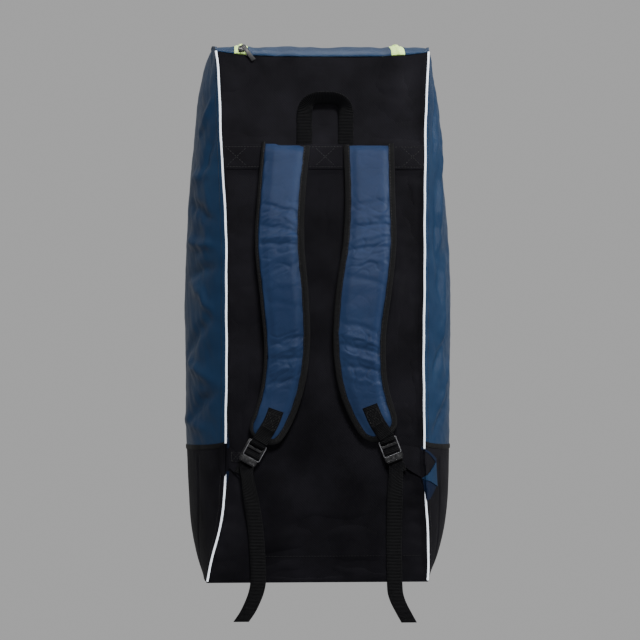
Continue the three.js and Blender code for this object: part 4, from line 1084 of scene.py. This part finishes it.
    # Patches over the piped seam, each with its cloth, height, and reach and z of its four corners. The dark
    # blue ones paint the shade on the gusset's folded facets.
    PATCHES = {
        -1: [("upper_sliver", BLUE_PAINTED_SHADE, 1.6, (-0.36, 206), (-0.36, 203), (-0.16, 232), (-0.1, 203)),
             ("lower_sliver", BLUE_PAINTED_SHADE, 1.6, (-0.36, 168), (-0.36, 164), (-0.1, 168), (-0.16, 146))],
        1: [("wedge", BLACK, 1.9, (-0.4, 203), (-0.4, 155), (1.85, 182), (1.7, 179)),
            ("edge", BLUE_PAINTED_SHADE, 2.6, (-0.33, 204), (-0.33, 201), (1.87, 184), (1.8, 178)),
            ("face", BLUE, 3.4, (-0.28, 157), (-0.27, 156), (1.7, 179), (1.87, 142)),
            ("shade", BLUE_PAINTED_SHADE, 2.2, (-0.3, 157), (0.0, 124), (1.85, 143), (0.3, 124))],
    }

    @property
    def proud(self) -> float:
        """Height of webbing's middle over what it lies on."""
        return FORM.gap + self.webbing_thickness / 2

    @property
    def clear(self) -> float:
        """Distance from the middle of a ladder lock's bar to the middle of webbing round it."""
        return self.bar_thickness / 2 + 0.35 + self.webbing_thickness / 2

    def band(self) -> None:
        """Black band across the back panel with stitch lines and boxes."""
        v, u = np.linspace(0, 1, 24)[:, None], np.linspace(0, 1, 140)[None]
        z = self.band_top - self.band_height * (1 - v) + 0 * u
        height = z / FORM.panel_height
        left, right = FORM.seam(-1, height) + FORM.pipe_inset, FORM.seam(1, height) - FORM.pipe_inset
        grid = FORM.on_back(left + (right - left) * u, z)
        rim = 1 - np.abs(2 * v - 1)
        high = FORM.gap + 1.5 * (0.55 + 0.45 * ramp(rim, 0, 0.12)) - 0.35 * np.exp(-((rim - 0.2) / 0.05) ** 2)
        self.shop.piece("band_cloth", skin(grid, high + 0 * u, FORM.gap), BLACK, "reinforcement_band")
        rows = []
        for z_line in (self.band_top - 3.5, self.band_top - self.band_height + 3.5):
            left, right = (float(FORM.seam(side, z_line / FORM.panel_height)) - 5 * side for side in SIDES)
            x = np.linspace(left, right, 300)
            rows.append(FORM.on_back(x, np.full_like(x, z_line), 1.85))
        t = np.linspace(-1, 1, 40)
        for centre in (-128.0, 4.5, 136.0):
            for mirrored in SIDES:
                rows.append(FORM.on_back(centre + 14 * t, self.band_top - 18.5 + mirrored * 13 * t, 1.85))
        out = np.array([[0, -1, 0]])
        shells = [stitches(row, np.repeat(out, len(row), 0)) for row in rows]
        self.shop.piece("band_stitches", Shell.joined(shells), THREAD)

    def haul_loop(self) -> None:
        """Loop of webbing: two legs from the band's upper edge and an arch whose x and z are powers of
        a cosine and a sine, standing off the panel towards its apex."""
        share = np.linspace(0, 1, 121)
        leg_share, leg_height, leg_lean, grip, rise_by, span, shift = 0.24, 0.6, 0.4, 0.92, 79.0, 62.0, 4.5
        peak = self.band_top + rise_by - grip * self.webbing_width / 2
        leg_top = self.band_top + (peak - self.band_top) * leg_height
        climb = np.minimum(share, 1 - share) / leg_share
        angle = np.pi * np.clip((share - leg_share) / (1 - 2 * leg_share), 0, 1)
        arc = np.maximum(np.sin(angle), 0) ** 0.72
        cosine = np.cos(angle)
        in_leg = climb < 1
        on_arch = -np.sign(cosine) * np.abs(cosine) ** 0.68
        x = shift + np.where(in_leg, np.sign(share - 0.5), on_arch) * span / 2
        foot = self.band_top + FORM.gap
        z = np.where(in_leg, foot + (leg_top - foot) * climb, leg_top + (peak - leg_top) * arc)
        rise = np.where(in_leg, climb * leg_lean, leg_lean + (1 - leg_lean) * arc)
        places = FORM.on_back(x, z, self.proud + 20 * rise**1.5)
        across = np.cross([0, 1, 0], np.gradient(places, axis=0))
        across[:, 1] = 0
        lean = np.radians(34 * ramp(rise, 0.55, 1))[:, None]
        across = unit(across) * np.cos(lean) + np.array([0, 1.0, 0]) * np.sin(lean)
        across *= (self.webbing_width / 2 * (1 + (grip - 1) * rise))[:, None]
        self.shop.piece("haul_webbing", ribbon(places, across, self.webbing_thickness), WEBBING, "haul_loop")

    def strap_place(self, side: int, drop: Array) -> Array:
        """Middle line of a strap, seated over the bulging panel at the strap's inner edge."""
        table = self.STRAPS[side]
        x = side * self.strap_offset * through(table[:, 0], table[:, 1], drop)
        z = self.band_top - self.strap_drop * drop
        rim = self.strap_edge / 2 + 1.4
        grown = ramp(drop * self.strap_drop / self.strap_thickness)
        seat = rim + (max(rim, self.strap_thickness / 2) - rim) * grown
        lifted = 2.1 + seat + self.strap_lift * through(table[:, 0], table[:, 3], drop)
        inner = x - side * self.strap_width / 2 * through(table[:, 0], table[:, 2], drop)
        return stacked(x, FORM.on_back(inner, z, lifted)[..., 1], z)

    def strap_frame(self, side: int, drop: Array) -> dict:
        """Frames on a strap's middle line.

        Args:
            side: -1 or 1.
            drop: shares of the strap's drop.

        Returns:
            Arrays at, down, across and out, and half the width and thickness there.
        """
        table = self.STRAPS[side]
        end = table[-1, 0]
        at = self.strap_place(side, drop)
        below = self.strap_place(side, np.minimum(drop + 0.01, end))
        down = unit(below - self.strap_place(side, np.maximum(drop - 0.01, 0)))
        across = unit(np.cross([0, -1, 0], down))
        out = unit(np.cross(down, across))
        roll = -side * np.radians(through(table[:, 0], table[:, 4], drop))[:, None]
        across, out = across * np.cos(roll) + out * np.sin(roll), out * np.cos(roll) - across * np.sin(roll)
        from_top, from_end = self.strap_drop * drop, self.strap_drop * (end - drop)
        corner = np.maximum(self.strap_end_radius - from_end, 0)
        trim = self.OUTER_TRIM[side]
        at = at - side * trim * across
        full = self.strap_width / 2 * through(table[:, 0], table[:, 2], drop) - trim
        half = full - self.strap_end_radius + np.sqrt(np.maximum(self.strap_end_radius**2 - corner**2, 0))
        filled = np.minimum(ramp(from_top / self.strap_thickness),
                            ramp((from_end - self.binding_width) / self.strap_thickness))
        thick = (self.strap_edge + (self.strap_thickness - self.strap_edge) * filled) / 2
        return {"at": at, "down": down, "across": across, "out": out, "half": half, "thick": thick}

    def drops(self, side: int, count: int) -> Array:
        """Drops from the band to the rounded lower end, closer together at the end."""
        end = self.STRAPS[side][-1, 0]
        arc_start = end - self.strap_end_radius / self.strap_drop
        round_end = np.sin(np.linspace(0, math.pi / 2, 14))[1:]
        return np.concatenate([np.linspace(0, arc_start, count), arc_start + (end - arc_start) * round_end])

    def pad(self, side: int) -> None:
        """Padded strap: a loft whose face is a flat crown inside a thin rim, then swollen and wrinkled
        by a short cloth simulation and crossed by the sags that the photograph shows."""
        frames = self.strap_frame(side, self.drops(side, 90))
        around = np.linspace(0, 2 * math.pi, 44, endpoint=False)
        a, rise = (np.sign(wave) * np.abs(wave) ** power
                   for wave, power in ((np.cos(around), 0.6), (np.sin(around), 0.25)))
        half, thick = frames["half"][:, None], frames["thick"][:, None]
        inner = np.maximum(half - self.binding_width, half * 0.45)
        inside = ramp((inner - np.abs(a) * half) / self.strap_thickness * 1.3)
        height = (self.strap_edge / 2 + (thick - self.strap_edge / 2) * inside) * rise
        rings = (frames["at"][:, None] + frames["across"][:, None] * (a * half)[..., None]
                 + frames["out"][:, None] * height[..., None])
        name = f"strap_pad_{side_name(side)}"
        piece = self.shop.piece(f"padded_{name}", loft(rings), BLUE_PAD, name)
        self.inflate(piece)
        self.wrinkle(piece, side)

    def inflate(self, piece: bpy.types.Object) -> None:
        """Remeshes a pad, lets pressure swell it for fourteen frames and keeps every point
        within swell_limit of its start."""
        remesh = piece.modifiers.new("voxels", "REMESH")
        remesh.mode, remesh.voxel_size = "VOXEL", self.voxel
        self.apply(piece)
        start = self.points_of(piece.data)
        moved = start.copy()
        cloth = piece.modifiers.new("stuffing", "CLOTH")
        cloth.settings.use_pressure, cloth.settings.uniform_pressure_force = True, self.pressure
        cloth.settings.effector_weights.gravity = 0.0
        cloth.settings.quality = 4
        scene = bpy.context.scene
        for step in range(1, self.cloth_frames + 1):
            scene.frame_set(step)
        moved = self.points_of(piece.evaluated_get(bpy.context.evaluated_depsgraph_get()).to_mesh())
        piece.modifiers.clear()
        scene.frame_set(1)
        shift = moved - start
        length = np.linalg.norm(shift, axis=1, keepdims=True)
        moved = start + shift * np.minimum(1, self.swell_limit / np.maximum(length, 1e-9))
        piece.data.vertices.foreach_set("co", moved.ravel())
        smooth = piece.modifiers.new("smooth", "SUBSURF")
        smooth.levels = smooth.render_levels = 1
        self.apply(piece)

    def wrinkle(self, piece: bpy.types.Object, side: int) -> None:
        """Moves both faces of a pad along its outward direction by the creases of the table, ridged
        waves across the strap at its two sagging stretches and a fine crumple.

        Args:
            piece: the pad.
            side: -1 or 1.
        """
        moved = self.points_of(piece.data)
        z = moved[:, 2] / MM + FORM.hang_point[2]
        frames = self.strap_frame(side, np.clip((self.band_top - z) / self.strap_drop, 0, 1))
        off = (moved / MM + FORM.hang_point) - frames["at"]
        across = (off * frames["across"]).sum(1) / frames["half"]
        face = (off * frames["out"]).sum(1)
        inside = ramp(1 - np.abs(across), 0.1, 0.34) * ramp(np.abs(face), 1, 3)
        u = across * frames["half"]
        busy = 0.35 + ramp(z, 590, 560) * ramp(z, 455, 480) + ramp(z, 395, 370) * ramp(z, 285, 310)
        ridge = folded(self.CREASES[side], u, z) + 0.4 * crumple(u * 0.6, z, size=44, seed=63 + side)
        ridge -= 0.55 * busy * np.exp(-((crumple(u * 0.7, z, size=26, seed=67 + side) / 0.2) ** 2))
        ridge += 0.12 * busy * crumple(u, z, size=11, seed=65 + side)
        moved += frames["out"] * (np.sign(face) * inside * np.clip(ridge, -2.4, 1.8))[:, None] * MM
        piece.data.vertices.foreach_set("co", moved.ravel())
        piece.data.update()
        piece.data.shade_smooth()

    def points_of(self, mesh: bpy.types.Mesh) -> Array:
        """A mesh's points as rows."""
        flat = np.empty(len(mesh.vertices) * 3)
        mesh.vertices.foreach_get("co", flat)
        return flat.reshape(-1, 3)

    def apply(self, piece: bpy.types.Object) -> None:
        """Turns a piece's modifiers into its mesh and keeps its material."""
        material = piece.data.materials[0]
        evaluated = piece.evaluated_get(bpy.context.evaluated_depsgraph_get())
        mesh = bpy.data.meshes.new_from_object(evaluated)
        piece.modifiers.clear()
        piece.data = mesh
        mesh.materials.clear()
        mesh.materials.append(material)

    def binding(self, side: int) -> None:
        """Grosgrain binding folded over a pad's rim: down one edge, round the end and up the other."""
        drop = self.drops(side, 110)
        frames = self.strap_frame(side, drop)
        edge = {s: frames["at"] + s * frames["across"] * frames["half"][:, None] for s in SIDES}
        end = {key: value[-1] for key, value in frames.items()}
        t = np.linspace(-1, 1, 9)[1:-1, None]
        foot = end["at"] + t * end["half"] * end["across"]
        rim = np.concatenate([edge[-1], foot, edge[1][::-1]])
        out, middle, down = (
            np.concatenate([frames[key], np.repeat(end[key][None], len(foot), 0), frames[key][::-1]])
            for key in ("out", "at", "down"))
        inward = unit(np.cross(out, np.gradient(rim, axis=0)))
        towards = ((middle - down * self.strap_end_radius - rim) * inward).sum(-1, keepdims=True)
        inward *= np.where(towards < 0, -1, 1)
        inside, wall = self.strap_edge / 2 + 0.4, 1.0
        left, right = (share * self.binding_width - 0.4 for share in self.LIPS[side])
        across_end = left + (right - left) * (t[:, 0] + 1) / 2
        lip = np.concatenate([np.full(len(drop), left), across_end, np.full(len(drop), right)])
        bend = np.linspace(-math.pi / 2, math.pi / 2, 7)
        outer = np.stack([-0.4 - np.cos(bend) * wall, np.sin(bend) * (inside + wall)], -1)
        inner = np.stack([-0.2 - 0.1 * np.cos(bend), np.sin(bend) * inside], -1)[::-1]
        arm = np.array([[0.5, inside + wall], [1, inside + wall * 0.8], [1, inside]])
        profile = np.concatenate([outer, arm, inner, arm[::-1] * [1, -1]])
        on_arm = np.repeat([0, 1, 0, 1], [len(outer), len(arm), len(inner), len(arm)])
        wave = 0.25 * np.sin(np.arange(len(rim)) * 0.9)[:, None]
        depth = np.where(on_arm, profile[:, 0] * lip[:, None] + wave * (profile[:, 0] > 0.9), profile[:, 0])
        rings = rim[:, None] + inward[:, None] * depth[..., None] + out[:, None] * profile[None, :, 1, None]
        name = f"strap_binding_{side_name(side)}"
        self.shop.piece(f"folded_{name}", loft(rings), BINDING, name)
        face = rim + inward * (lip - 1.6)[:, None] + out * (inside + wall)
        self.shop.piece(f"{name}_stitches", stitches(face, out), THREAD)

    def buckle_frame(self, side: int) -> dict:
        """Where a ladder lock sits: its middle, the way down it, out of it and across it."""
        end = {k: v[0] for k, v in self.strap_frame(side, np.array([self.STRAPS[side][-1, 0]])).items()}
        tilt = math.radians(self.TILT[side])
        down = np.array([side * math.sin(tilt), 0, -math.cos(tilt)])
        out = np.array([0.0, -1, 0])
        at = end["at"] + down * (5 + self.buckle_length / 2)
        return {"at": at, "down": down, "out": out, "across": np.cross(out, down), "end": end}

    def on_buckle(self, place: dict, ways: Array) -> Array:
        """Points of a buckle from millimetres down it and out of it."""
        return place["at"] + ways[:, :1] * place["down"] + ways[:, 1:] * place["out"]

    def buckle_highlight_rim(self, side: int) -> None:
        """Raised bead round a ladder lock's frame: a thin tube along a rounded rectangle, light grey as a
        painted highlight on the frame's edge.
        """
        place = self.buckle_frame(side)
        half, top, bottom, corner = 13.3, -16.2, 8.6, 2.4
        angle = np.linspace(0, math.pi / 2, 7)
        arcs = [(half, bottom, 0), (-half, bottom, 1), (-half, top, 2), (half, top, 3)]
        points = []
        for x, y, quarter in arcs:
            turn = angle + quarter * math.pi / 2
            centre = np.array([x - np.sign(x) * corner, y - (corner if y > 0 else -corner)])
            points.append(centre + corner * np.stack([np.cos(turn), np.sin(turn)], -1))
        flat = np.concatenate(points)
        flat = densify(np.concatenate([flat, flat[:1]]), 3)[:-1]
        path = place["at"] + flat[:, :1] * place["across"] + flat[:, 1:] * place["down"] + place["out"] * 1.9
        heading = unit(np.roll(path, -1, 0) - np.roll(path, 1, 0))
        wide = unit(np.cross(heading, place["out"]))
        rings = tube(path, wide, place["out"], 0.6, 10)
        self.shop.piece(f"buckle_highlight_rim_{side_name(side)}", loft(rings, True), ACETAL_RIM_HIGHLIGHT)

    def tab(self, side: int) -> None:
        """Webbing sewn on the pad's end that folds round the buckle's upper bar, with its box of
        stitches."""
        place = self.buckle_frame(side)
        end = self.STRAPS[side][-1, 0]
        drop = end - np.array([1, 0.85, 0.7, 0.55, 0.4, 0.25, 0.1, 0]) * 46 / self.strap_drop
        frames = self.strap_frame(side, drop)
        height = np.maximum(3.4 + FORM.gap + self.proud, frames["thick"] + FORM.gap + self.proud)
        on_pad = frames["at"] + frames["out"] * height[:, None]
        past = on_pad[-1:] + place["end"]["down"] * 1.8
        ways = self.TAB_FOLD * [self.bar_thickness, self.clear] - [self.buckle_length / 2, 0]
        fold = self.on_buckle(place, ways)
        on_fold = np.repeat(place["across"][None], len(fold), 0)
        across = np.concatenate([frames["across"], frames["across"][-1:], on_fold])
        path = np.concatenate([on_pad, past, fold])
        name = f"strap_tab_{side_name(side)}"
        shell = ribbon(densify(path, 4), densify(across, 4) * self.webbing_width / 2, self.webbing_thickness)
        self.shop.piece(f"sewn_{name}", shell, WEBBING, name)
        corners = np.array([[-9, 1], [9, 1], [9, 4], [-9, 4], [-9, 1], [9, 4], [-9, 4], [9, 1.0]])
        u, v = read_rows(np.linspace(0, len(corners) - 1, 160), np.arange(len(corners)), corners).T
        at, wide, out = (read_rows(v, np.arange(len(on_pad)), rows)
                         for rows in (on_pad, frames["across"], frames["out"]))
        line = at + wide * u[:, None] + out * self.webbing_thickness / 2
        self.shop.piece(f"{name}_stitches", stitches(line, out), THREAD)

    def lower_webbing(self, side: int) -> None:
        """Webbing from the gusset up through the ladder lock and down again to its free end, whose
        gentle curve is the photograph's."""
        place = self.buckle_frame(side)
        ways = self.THREAD_WAY * [self.buckle_length, self.clear]
        threaded = self.on_buckle(place, ways)
        anchor_proud = FORM.gap + 1.6 + 4 + FORM.gap + self.proud
        anchor = []
        for i, along in enumerate((1.12, 0.95, 0.78)):
            behind = self.on_buckle(place, np.array([[along * self.buckle_length, ways[0, 1]]]))[0]
            near = FORM.on_back(behind[0], behind[2], anchor_proud)
            anchor.append(near + (behind - near) * float(ramp(i / 3)))
        table = self.TAILS[side]
        share = np.linspace(0, 1, 17)
        drop = table[0, 0] + (table[-1, 0] - table[0, 0]) * share
        x = place["at"][0] + self.webbing_width * through(table[:, 0], table[:, 1], drop)
        z = place["at"][2] - self.tail_length * drop
        start = -FORM.bag_depth / 2 - threaded[-1, 1]
        hang = self.proud + 4 + (np.sin(share * 7) * 0.8 + 0.8) * ramp(share, 0.5, 0.8)
        free = FORM.on_back(x, z, start + (hang - start) * ramp(share * 2))
        turn = ramp(share * 4)[:, None]
        free_across = place["across"] * (1 - turn) + np.array([1.0, 0, 0]) * turn
        path = np.concatenate([anchor, threaded, free])
        held = np.repeat(place["across"][None], len(anchor) + len(threaded), 0)
        across = np.concatenate([held, free_across])
        name = f"lower_webbing_{side_name(side)}"
        across = unit(densify(across, 4)) * self.webbing_width / 2
        shell = ribbon(densify(path, 4), across, self.webbing_thickness)
        self.shop.piece(f"threaded_{name}", shell, WEBBING, name)

    def over_seam(self, side: int, z: Array, reach: Array, lift: Array) -> Array:
        """Points over the side seam: on the back panel for a negative reach, round the piping up to
        0.35, and along the side panel beyond."""
        height = z / FORM.panel_height
        seam = FORM.side_point(side, height, 0.0)
        flat = FORM.on_back(seam[..., 0] + side * reach * 16, z, lift)
        bump, angle = 2.3 + lift, np.clip(reach / 0.35, 0, 1) * math.pi / 2
        round_it = stacked(seam[..., 0] + side * bump * np.sin(angle), seam[..., 1] - bump * np.cos(angle), z)
        far = FORM.side_point(side, height, FORM.turn_from_seam(side, height, np.maximum(reach, 0.35) * 16))
        away = unit((far - seam) * [1, 1, 0])
        out = stacked(side * np.abs(away[..., 1]), -np.abs(away[..., 0]), 0 * z)
        beyond = stacked(far[..., 0], far[..., 1], z) + out * lift[..., None]
        return np.where((reach < 0)[..., None], flat, np.where((reach < 0.35)[..., None], round_it, beyond))

    def gusset(self, side: int) -> None:
        """Cloth gusset over the seam with a black tongue on the back panel, and on the left side a small
        cross of stitches."""
        table = self.GUSSETS[side]
        t = np.linspace(0, len(table) - 1, 61)
        reach, low, high, lift = read_rows(t, np.arange(len(table)), table).T[..., None]
        v = np.linspace(0, 1, 24)[None]
        z = 163 + 79 * (low + (high - low) * v)
        rise = FORM.gap + 0.8 + 1.3 * (reach > 0) + lift * 4
        grid = self.over_seam(side, z, reach + 0 * v, rise + 0 * v)
        name = f"gusset_{side_name(side)}"
        split = int(np.argmax(reach[:, 0] < -0.3))
        tongue = grid[split:] if side > 0 else grid
        self.shop.piece(f"tongue_of_{name}", skin(tongue, 0.8 + 0 * tongue[..., 0], -0.8), BLACK, name)
        for label, finish, proud, *corners in self.PATCHES[side]:
            self.patch(f"{label}_of_{name}", side, finish, proud, *corners)
        if side < 0:
            s = np.linspace(-1, 1, 30)
            rows = [(s, s), (s, -s), (s, 0 * s + 1), (s, 0 * s - 1), (0 * s + 1, s), (0 * s - 1, s)]
            lines = [self.over_seam(side, 190 + 7 * b, -0.95 + 0.4 * a, 4.6 + 0 * s) for a, b in rows]
            out = np.tile([0.0, -1, 0], (len(s), 1))
            cross = Shell.joined([stitches(line, out, 3.4) for line in lines])
            self.shop.piece("gusset_stitches", cross, THREAD)

    def patch(self, name: str, side: int, finish: WovenFinish, proud: float, top: tuple, low: tuple,
              far_top: tuple, far_low: tuple) -> None:
        """Four-cornered patch of gusset cloth over the seam.

        Args:
            name: the piece's name.
            side: -1 or 1.
            finish: its cloth.
            proud: millimetres off what it lies on.
            top: reach and z of the corner at the back panel's upper end.
            low: the corner below it.
            far_top: the upper corner on the side panel.
            far_low: the corner below that.
        """
        u, v = np.linspace(0, 1, 28)[:, None], np.linspace(0, 1, 20)[None]
        near, far = ([upper[i] * (1 - v) + lower[i] * v for i in (0, 1)]
                     for upper, lower in ((top, low), (far_top, far_low)))
        reach, z = (near[i] * (1 - u) + far[i] * u for i in (0, 1))
        grid = self.over_seam(side, z, reach, proud + 0 * z)
        self.shop.piece(name, skin(grid, 0.6 + 0 * z, -0.6), finish)

    def build(self) -> None:
        """Builds the band and the loop, then each side's strap, lock, webbing and gusset."""
        self.band()
        self.haul_loop()
        for side in SIDES:
            self.pad(side)
            self.binding(side)
            self.tab(side)
            self.shop.rounded_copy(f"buckle_{side_name(side)}", 0.55, ACETAL)
            self.buckle_highlight_rim(side)
            self.lower_webbing(side)
            self.gusset(side)


@dataclass(frozen=True)
class Studio:
    """Pale floor, grey surroundings, soft lights and the camera at the photo's angle."""

    azimuth: float = -2.6
    elevation: float = 0.8
    distance: float = 3.2
    lens: float = 120.0
    floor_height: float = -0.86
    floor_radius: float = 2.6
    # Where the lamps point, in metres, and the camera's aim, in the bag's millimetres.
    lit_point: tuple = (0, 0.15, -0.32)
    aim: tuple = (-3.0, -155.0, 395.0)
    grey: str = "adadad"
    dim: float = 0.5

    def floor(self) -> None:
        """A disc below the hanging webbing that glows as evenly as the surroundings behind the bag, so
        no horizon shows, as in the photograph."""
        material, shader = principled("pale_floor")
        set_inputs(shader, {"Base Color": (0, 0, 0, 1), "Specular IOR Level": 0.0,
                            "Emission Color": linear(self.grey), "Emission Strength": 1.0})
        around = np.linspace(0, 2 * math.pi, 96, endpoint=False)
        radius = self.floor_radius
        ring = stacked(radius * np.cos(around), radius * np.sin(around), self.floor_height)
        mesh = bpy.data.meshes.new("studio_floor")
        mesh.from_pydata(ring.tolist(), [], [list(range(len(ring)))])
        mesh.materials.append(material)
        linked("studio_floor", mesh)

    def light(self, name: str, place: tuple, size: float, power: float) -> None:
        """A square softbox that points at the middle of the bag."""
        data = bpy.data.lights.new(name, "AREA")
        data.size, data.energy = size, power
        lamp = linked(name, data)
        lamp.location = place
        lamp.rotation_euler = (Vector(self.lit_point) - Vector(place)).to_track_quat("-Z", "Y").to_euler()

    def world(self) -> None:
        """Grey surroundings: bright behind the bag and dim in front of it, by the y of the direction."""
        world = bpy.data.worlds.new("studio")
        world.use_nodes = True
        back = world.node_tree.nodes["Background"]
        back.inputs["Color"].default_value = linear(self.grey)
        place = add_node(world, "ShaderNodeTexCoord")
        split = add_node(world, "ShaderNodeSeparateXYZ", links={0: place.outputs["Generated"]})
        strength = map_range(world, split.outputs[1], (0.2, 0.85), (self.dim, 1.0))
        world.node_tree.links.new(strength, back.inputs["Strength"])
        bpy.context.scene.world = world

    def camera(self) -> None:
        """A long lens that frames 0.96 m at the back panel, aimed at the middle of the photograph."""
        data = bpy.data.cameras.new("camera")
        data.lens, data.sensor_width = self.lens, 36.0
        camera = linked("camera", data)
        target = Vector(FORM.place(np.array(self.aim)))
        a, e = math.radians(self.azimuth), math.radians(self.elevation)
        back = Vector((math.sin(a) * math.cos(e), -math.cos(a) * math.cos(e), math.sin(e)))
        camera.location = target + back * self.distance
        camera.rotation_euler = (-back).to_track_quat("-Z", "Y").to_euler()
        bpy.context.scene.camera = camera

    def build(self) -> None:
        """Sets up the camera, the floor, the world and the lights."""
        self.camera()
        self.floor()
        self.world()
        self.light("key", (0.1, -1.6, 0.62), 0.4, 38)
        self.light("right", (2.0, -0.35, 0.5), 0.45, 58)
        self.light("left", (-1.7, -0.6, 1.2), 0.3, 20)
        self.light("top", (0.1, 0.5, 1.6), 0.8, 38)


def main() -> None:
    """Builds the studio, then the bag."""
    logging.basicConfig(level=logging.INFO, format="%(name)s: %(message)s")
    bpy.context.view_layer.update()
    Studio().build()
    shop = Workshop()
    Body(shop).build()
    Harness(shop).build()


if __name__ == "__main__":
    main()
